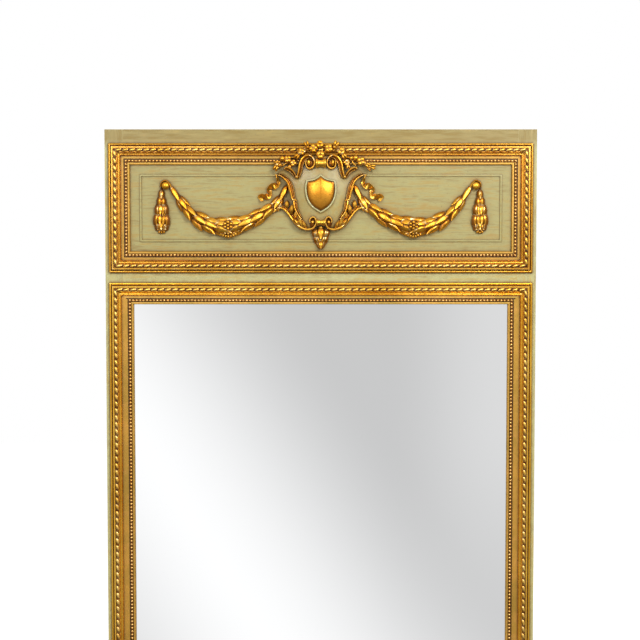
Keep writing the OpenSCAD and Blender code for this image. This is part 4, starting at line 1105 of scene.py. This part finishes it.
def ribbon():
    """A folded ribbon: a thin band whose face turns to and fro as it flutters."""
    form, points = Form(), []
    line = spread(smooth_line([(103.5, 75), (102.5, 66), (101.5, 58.5), (104.5, 53), (112, 52), (120, 49.5),
                               (123, 43), (121, 35.5), (124, 28.5), (131, 27), (139, 27), (147, 20.5)], 8),
                  1.2)
    halves = [3.8, 4.4, 5.6, 8.2, 9.0, 6.6, 5.6, 6.6, 8.2, 9.2, 8.4]
    swing, turns, thick = math.radians(50), 5.0, 1.1
    band = ((-1, -0.9), (-1, 0.4), (-0.62, 1.3), (0, 0.1), (0.62, 1.3), (1, 0.4), (1, -0.9), (0, -1.4))
    for i, p in enumerate(line):
        t = i / (len(line) - 1)
        side = side_of(line, i)[1]
        roll = swing * math.sin(t * math.pi * turns + 0.9)
        half = value_at(halves, t)
        level = 8 + 2.4 * math.cos(t * math.pi * turns)
        across = (side.x * math.cos(roll), side.y * math.cos(roll), math.sin(roll))
        up = (-side.x * math.sin(roll), -side.y * math.sin(roll), math.cos(roll))
        points += [[q + half * a * c + thick * u * b for q, c, b in zip((p.x, p.y, level), across, up)]
                   for a, u in band]
    form.add(points, tube_faces(len(line), len(band), (1, 0, 3, 2)))
    for x, y in ((102.5, 62), (112, 51), (122, 40), (134, 27)):
        sweep(form, [Vector((x + dx, y)) for dx in (-3, 0, 3)], [2, 6, 2], [8, 8, 8], 0, ROUND)
    return form


def hanging_bud():
    form = Form()
    base = out_of_face("pendant_bud")[0]
    core = spread(smooth_line([(0, y) for y in (-47, -54, -64, -76, -87, -96)], 5), 2)
    sweep(form, core, [12, 28, 33, 25, 14, 4], [8, 11, 12, 11, 9, 5], base, SHADED_ROUND)
    rings = ((-79, 18, 14, 7.5, 5.5, (-36, 36)), (-79, 19, 13, 10, 5.5, (0,)),
             (-65, 21, 14, 7.5, 11, (-74, -27, 27, 74)), (-50, 25, 17, 8.5, 13.5, (-88, -46, 46, 88)),
             (-48, 27, 20, 11.5, 13.5, (0,)))
    for y, length, width, level, reach, fan in rings:
        for a in fan:
            side = math.sin(math.radians(a))
            place = placed(side * reach, y, base + level - abs(side) * 5.5, -90 - side * 7, 3, side * 48)
            leaf(form, place, length, width, 7, thickness=5, lift=-0.02, groove=0.14, curl=0.9, tip=0.5,
                 widest=0.46, nu=10, dark=0.7)
    turned(form, placed(0, -46.5, base + 6) @ Matrix.Rotation(math.pi / 2, 4, "Z"),
           [(-2.5, 4), (-1.5, 7.5), (1.5, 7.5), (2.5, 4)], 18)
    add_piece("bud_below_foot", form, GILT_LEAF, ["pendant_bud"], 45)


add_pair("acanthus", acanthus(), GILT, "{}_acanthus")
add_pair("ribbon", ribbon(), GILT, "{}_ribbon", 50)
hanging_bud()

# ---- garlands, knobs and drops
GARLAND = [(82, 52), (102, 16), (133, -9), (173, -32), (218, -43), (252, -42), (282, -32), (315, -9),
           (341, 25), (358, 50)]
THICK = [13, 21, 30, 37, 43, 44, 37, 29, 20, 12]


def garland_row(line, centre_at, toward, thick, index, chance, places):
    """One ring of laurel leaves over the front of the garland's body."""
    i = round(centre_at * (len(line) - 1))
    d, n = side_of(line, i)
    d = d * toward
    r = thick / 2
    # Three leaves side by side where the garland is thick, one at its ends and two between
    wide = 3 if thick > 35 else 2 if thick > 15 else 1
    shift = 0.5 if index % 2 and wide > 1 else 0.0
    for k in range(wide + (1 if shift else 0)):
        a = math.radians(lerp(-74, 74, (k + 0.5 - shift) / wide)) + chance.uniform(-0.06, 0.06)
        p = line[i] + d * chance.uniform(-1.5, 1.5) + n * math.sin(a) * r * 0.66
        level = max(1.5, r * 0.72 * math.cos(a) + 1.0)
        size = (0.62 + 0.38 * thick / max(THICK)) * chance.uniform(0.94, 1.06)
        length = size * (1.3 if index == 0 else 1.0)
        turn = math.atan2(d.y, d.x) + math.sin(a) * toward * 0.12 + chance.uniform(-0.06, 0.06)
        place = (Matrix.Rotation(turn, 4, "Z") @ Matrix.Rotation(math.radians(-8), 4, "Y")
                 @ Matrix.Rotation(-a * toward * 0.8, 4, "X"))
        euler = place.to_euler("XYZ")
        places.append(((p.x, p.y, level), tuple(euler), (length, size * 0.94, size)))


def garland():
    form, leaf_form, places = Form(), Form(), []
    chance = random.Random(7)
    line = spread(smooth_line(GARLAND, 12), 1.5)
    sweep(form, line, [t * 0.8 for t in THICK], [t * 0.36 for t in THICK], 0, SHADED_ROUND)
    for toward, start in ((1, 0.01), (-1, 0.99)):
        for k in range(GARLAND_ROWS):
            at = lerp(start, 0.5 - 0.085 * toward, (k / (GARLAND_ROWS - 1)) ** 0.95)
            garland_row(line, at, toward, value_at(THICK, at), k, chance, places)
    leaf(leaf_form, Matrix.Translation((-LEAF_L * 0.15, 0, 0)), LEAF_L, LEAF_W, 7.5, thickness=3.5, lift=0.0,
         groove=0.14, nu=10, curl=0.35, widest=0.46)
    set_out(form, "laurel", places, leaf_form, GILT_LEAF)
    mid = line[round(0.5 * (len(line) - 1))]
    top = out_of_face("right_garland")[1]
    x, y = mid.x, mid.y + 1.5
    egg(form, x, y, top - 2, 13.5, 12.5, 6, 0, 14, 8, 1.6)
    for k in range(6):
        a = math.radians(k * 60 + 30)
        egg(form, x + 8.2 * math.cos(a), y + 7.5 * math.sin(a), top + 3.6, 4.4, 3.9, 3.6, math.degrees(a), 10,
            6, 0.3)
    ball(form, placed(x, y, top + 4.2), 3.6, 10, 6, 0.3)
    for dx, dy, level, turn in ((-17, -17.5, 8, 200), (-11.5, -20, 8, 225), (-6, -22, 8, 250),
                                (0, -23, 8, 270), (6, -22, 8, 290), (11.5, -20, 8, 315), (17, -17.5, 8, 340),
                                (-7, -15, 14, 240), (0, -16, 14.5, 270), (7, -15, 14, 300)):
        egg(form, mid.x + dx, mid.y + dy - 1.5, level + 6, 5.0, 3.3, 3.4, turn, 10, 6, 0.3)
    loop = spread(smooth_line([(355, 40), (361, 55), (368, 64), (374, 65), (381, 60), (383, 50)], 6), 1.5)
    sweep(form, loop, [8, 7, 6, 6, 5], [7, 9, 10, 9, 7], 1.5, ROUND)
    return form


def drop():
    form = Form()
    chance = random.Random(11)
    core = spread(smooth_line([(DROP_X, y) for y in (48, 34, 12, -14, -36, -52)], 6), 2)
    sweep(form, core, [5, 12, 19, 26, 26, 15], [6, 8, 10, 12, 12, 8], 0, SHADED_ROUND)
    tiers = ((-33, 21, 10, 5.5, 11, 2, (-74, -38, 0, 38, 74)),
             (-14, 28, 12.5, 7.5, 11.2, 11, (-70, -24, 24, 70)),
             (9, 27, 13, 7.5, 9.0, 11, (-64, -20, 20, 64)), (27, 25, 11.5, 6, 6.0, 11, (-38, 38)),
             (43, 22, 9.5, 5, 3.4, 11, (-26, 26)))
    for y, length, width, level, reach, splay, fan in tiers:
        for a in fan:
            side = math.sin(math.radians(a))
            place = placed(DROP_X + side * reach, y + chance.uniform(-1, 1), level + 2.5 - abs(side) * 4.5,
                           -90 + side * splay + chance.uniform(-2, 2), 2, side * 52)
            leaf(form, place, length, width, 7, thickness=4, lift=0.0, groove=0.12, curl=1.1, tip=0.4,
                 widest=0.48, dark=0.95, outline=1.75)
    for x, y, level in ((-8, -51, 6), (-3, -53.5, 7), (3.5, -53.5, 7), (8.5, -51, 6), (-5.5, -57, 5),
                        (0.5, -58, 5), (6, -57, 5), (0, -48.5, 11)):
        ball(form, placed(DROP_X + x, y, level), 3.3, 10, 6, 0.8)
    return form


def knobs():
    form = Form()
    for side in (-1, 1):
        place = placed(side * KNOB_X, KNOB_Y, 0) @ Matrix.Rotation(-math.pi / 2, 4, "Y")
        turned(form, place, [(0, 5.5), (8, 5.5), (9.4, 8.0), (11.2, 9.2), (13, 8.6), (14.6, 6.6), (15.6, 3.8),
                             (16, 0.6)], 28)
    add_piece("knobs_carved", form, GILT, ["garland_knobs"], 60)


add_pair("laurel_garland", garland(), GILT_LEAF, "{}_garland")
knobs()
add_pair("husk_drop", drop(), GILT_LEAF, "{}_drop")

# ---- finishes on the frame's own nodes
# The first of these that a node's name holds decides its finish
FINISHES = (
    ("_stile", PAINT_UPRIGHT), ("_rail", PAINT_LEVEL), ("upper_panel", PAINT_PANEL), ("mirror_plate", PLATE),
    ("panel_moulding_top", GILT_TOP), ("panel_moulding", GILT_DULL), ("_moulding", GILT_TRIM),
    ("mirror_slip_top", WASH), ("mirror_slip_bottom", WASH), ("_slip", WASH_DARKER),
    ("joint_pegs", PINE_UPRIGHT), ("glass_blocks", PINE_LEVEL), ("panel_battens", PINE_LEVEL),
    ("backboard", PINE_LEVEL), ("back_screws", STEEL), ("hang", STEEL))


def finish_of(node):
    return next((finish for part, finish in FINISHES if part in node), GILT)


for name, node in frame["nodes"].items():
    node.data.materials.clear()
    node.data.materials.append(finish_of(name))

# ---- floor, light and camera
FLOOR_SIZE = 14.0
FLOOR_GLOW = 0.5
WORLD_LEVEL = 0.56
ROOM_LOW, ROOM_HIGH = 0.08, 1.0
SLOPE_X, SLOPE_Z = 0.827, 0.562
CAMERA_X, CAMERA_AWAY, CAMERA_AIM, CAMERA_TILT, CAMERA_LENS = -0.0018, 3.1305, 1.327, 2.9, 73.1


def floor():
    mesh = bpy.data.meshes.new("floor")
    s = FLOOR_SIZE / 2
    mesh.from_pydata([(-s, -s, 0), (s, -s, 0), (s, s, 0), (-s, s, 0)], [], [(0, 1, 2, 3)])
    made = new_object("floor", mesh)
    material, w, shader = new_material("Pale floor")
    w.fill(shader, {"Base Color": w.mix(w.noise(w.place(), 2.0), (0.86, 0.86, 0.86, 1), (0.9, 0.9, 0.9, 1)),
                    "Roughness": 0.7})
    rays = w.node("ShaderNodeLightPath").outputs
    glow = w.node("ShaderNodeEmission", {"Strength": w.times(rays["Is Camera Ray"], FLOOR_GLOW)})
    lit = w.node("ShaderNodeAddShader", {0: shader.outputs[0], 1: glow.outputs[0]})
    clear = w.node("ShaderNodeBsdfTransparent")
    both = w.node("ShaderNodeMixShader", {0: rays["Is Glossy Ray"], 1: lit.outputs[0], 2: clear.outputs[0]})
    w.fill(w.tree.nodes["Material Output"], {"Surface": both.outputs[0]})
    mesh.materials.append(material)


def world():
    """A white studio. The plate and the gold mirror a room that darkens downwards."""
    made = bpy.data.worlds.new("Studio")
    bpy.context.scene.world = made
    made.use_nodes = True
    w = Wiring(made.node_tree)

    def choose(share, a, b):
        return w.node("ShaderNodeMix", {0: share, 2: a, 3: b}, data_type="FLOAT").outputs[0]
    rays = w.node("ShaderNodeLightPath").outputs
    look = w.node("ShaderNodeTexCoord").outputs["Generated"]
    x, y, z = w.node("ShaderNodeSeparateXYZ", {0: look}).outputs
    # What stands opposite the plate: a bright slope on the left that falls off to the upper right
    slope = w.math("ADD", w.times(x, SLOPE_X), w.times(z, SLOPE_Z))
    bright = w.times(w.soft(slope, -0.198, -0.033, 1.05, 0.61), w.soft(slope, -0.318, -0.188, 0.72, 1.0))
    right = w.times(w.soft(x, 0.05, 0.14, 0.0, 0.13), w.soft(z, -0.28, -0.12, 0.3, 1.0))
    opposite = w.math("ADD", bright, right)
    beside = w.times(w.soft(w.math("ABSOLUTE", x), 0.3, 0.2),
                     w.soft(w.math("ABSOLUTE", w.math("ADD", z, 0.17)), 0.3, 0.2))
    window = w.times(beside, w.soft(y, -0.8, -0.9))
    glossy = choose(window, w.soft(z, -0.7, 0.5, ROOM_LOW, ROOM_HIGH), opposite)
    level = choose(rays["Is Camera Ray"], choose(rays["Is Glossy Ray"], WORLD_LEVEL, glossy), 1.0)
    w.fill(made.node_tree.nodes["Background"], {"Color": (1, 1, 1, 1), "Strength": level})


def lamp(name, place, aim, size, power, colour=(1, 1, 1)):
    data = bpy.data.lights.new(name, "AREA")
    data.shape, data.size, data.energy, data.color = "DISK", size, power, colour
    made = new_object(name, data)
    made.location = place
    made.rotation_euler = (Vector(aim) - Vector(place)).to_track_quat("-Z", "Y").to_euler()


def camera():
    """Square on, a little above the middle and looking slightly down."""
    data = bpy.data.cameras.new("camera")
    data.lens, data.sensor_width = CAMERA_LENS, 36
    made = new_object("camera", data)
    tilt = math.radians(CAMERA_TILT)
    made.location = (CAMERA_X, FACE_Y - CAMERA_AWAY * math.cos(tilt),
                     CAMERA_AIM + CAMERA_AWAY * math.sin(tilt))
    made.rotation_euler = (math.pi / 2 - tilt, 0, 0)
    bpy.context.scene.camera = made


floor()
world()
lamp("key", (1.15, -2.6, 2.6), (0, 0, 1.35), 1.0, 50, (1.0, 0.985, 0.96))
lamp("fill", (-1.0, -2.75, 2.45), (0, 0, 1.25), 1.0, 25, (0.97, 0.985, 1.0))
lamp("back_fill", (0.8, 3.0, 2.4), (0, 0, 1.0), 2.0, 22)
camera()
bpy.context.scene.view_settings.view_transform = "Standard"
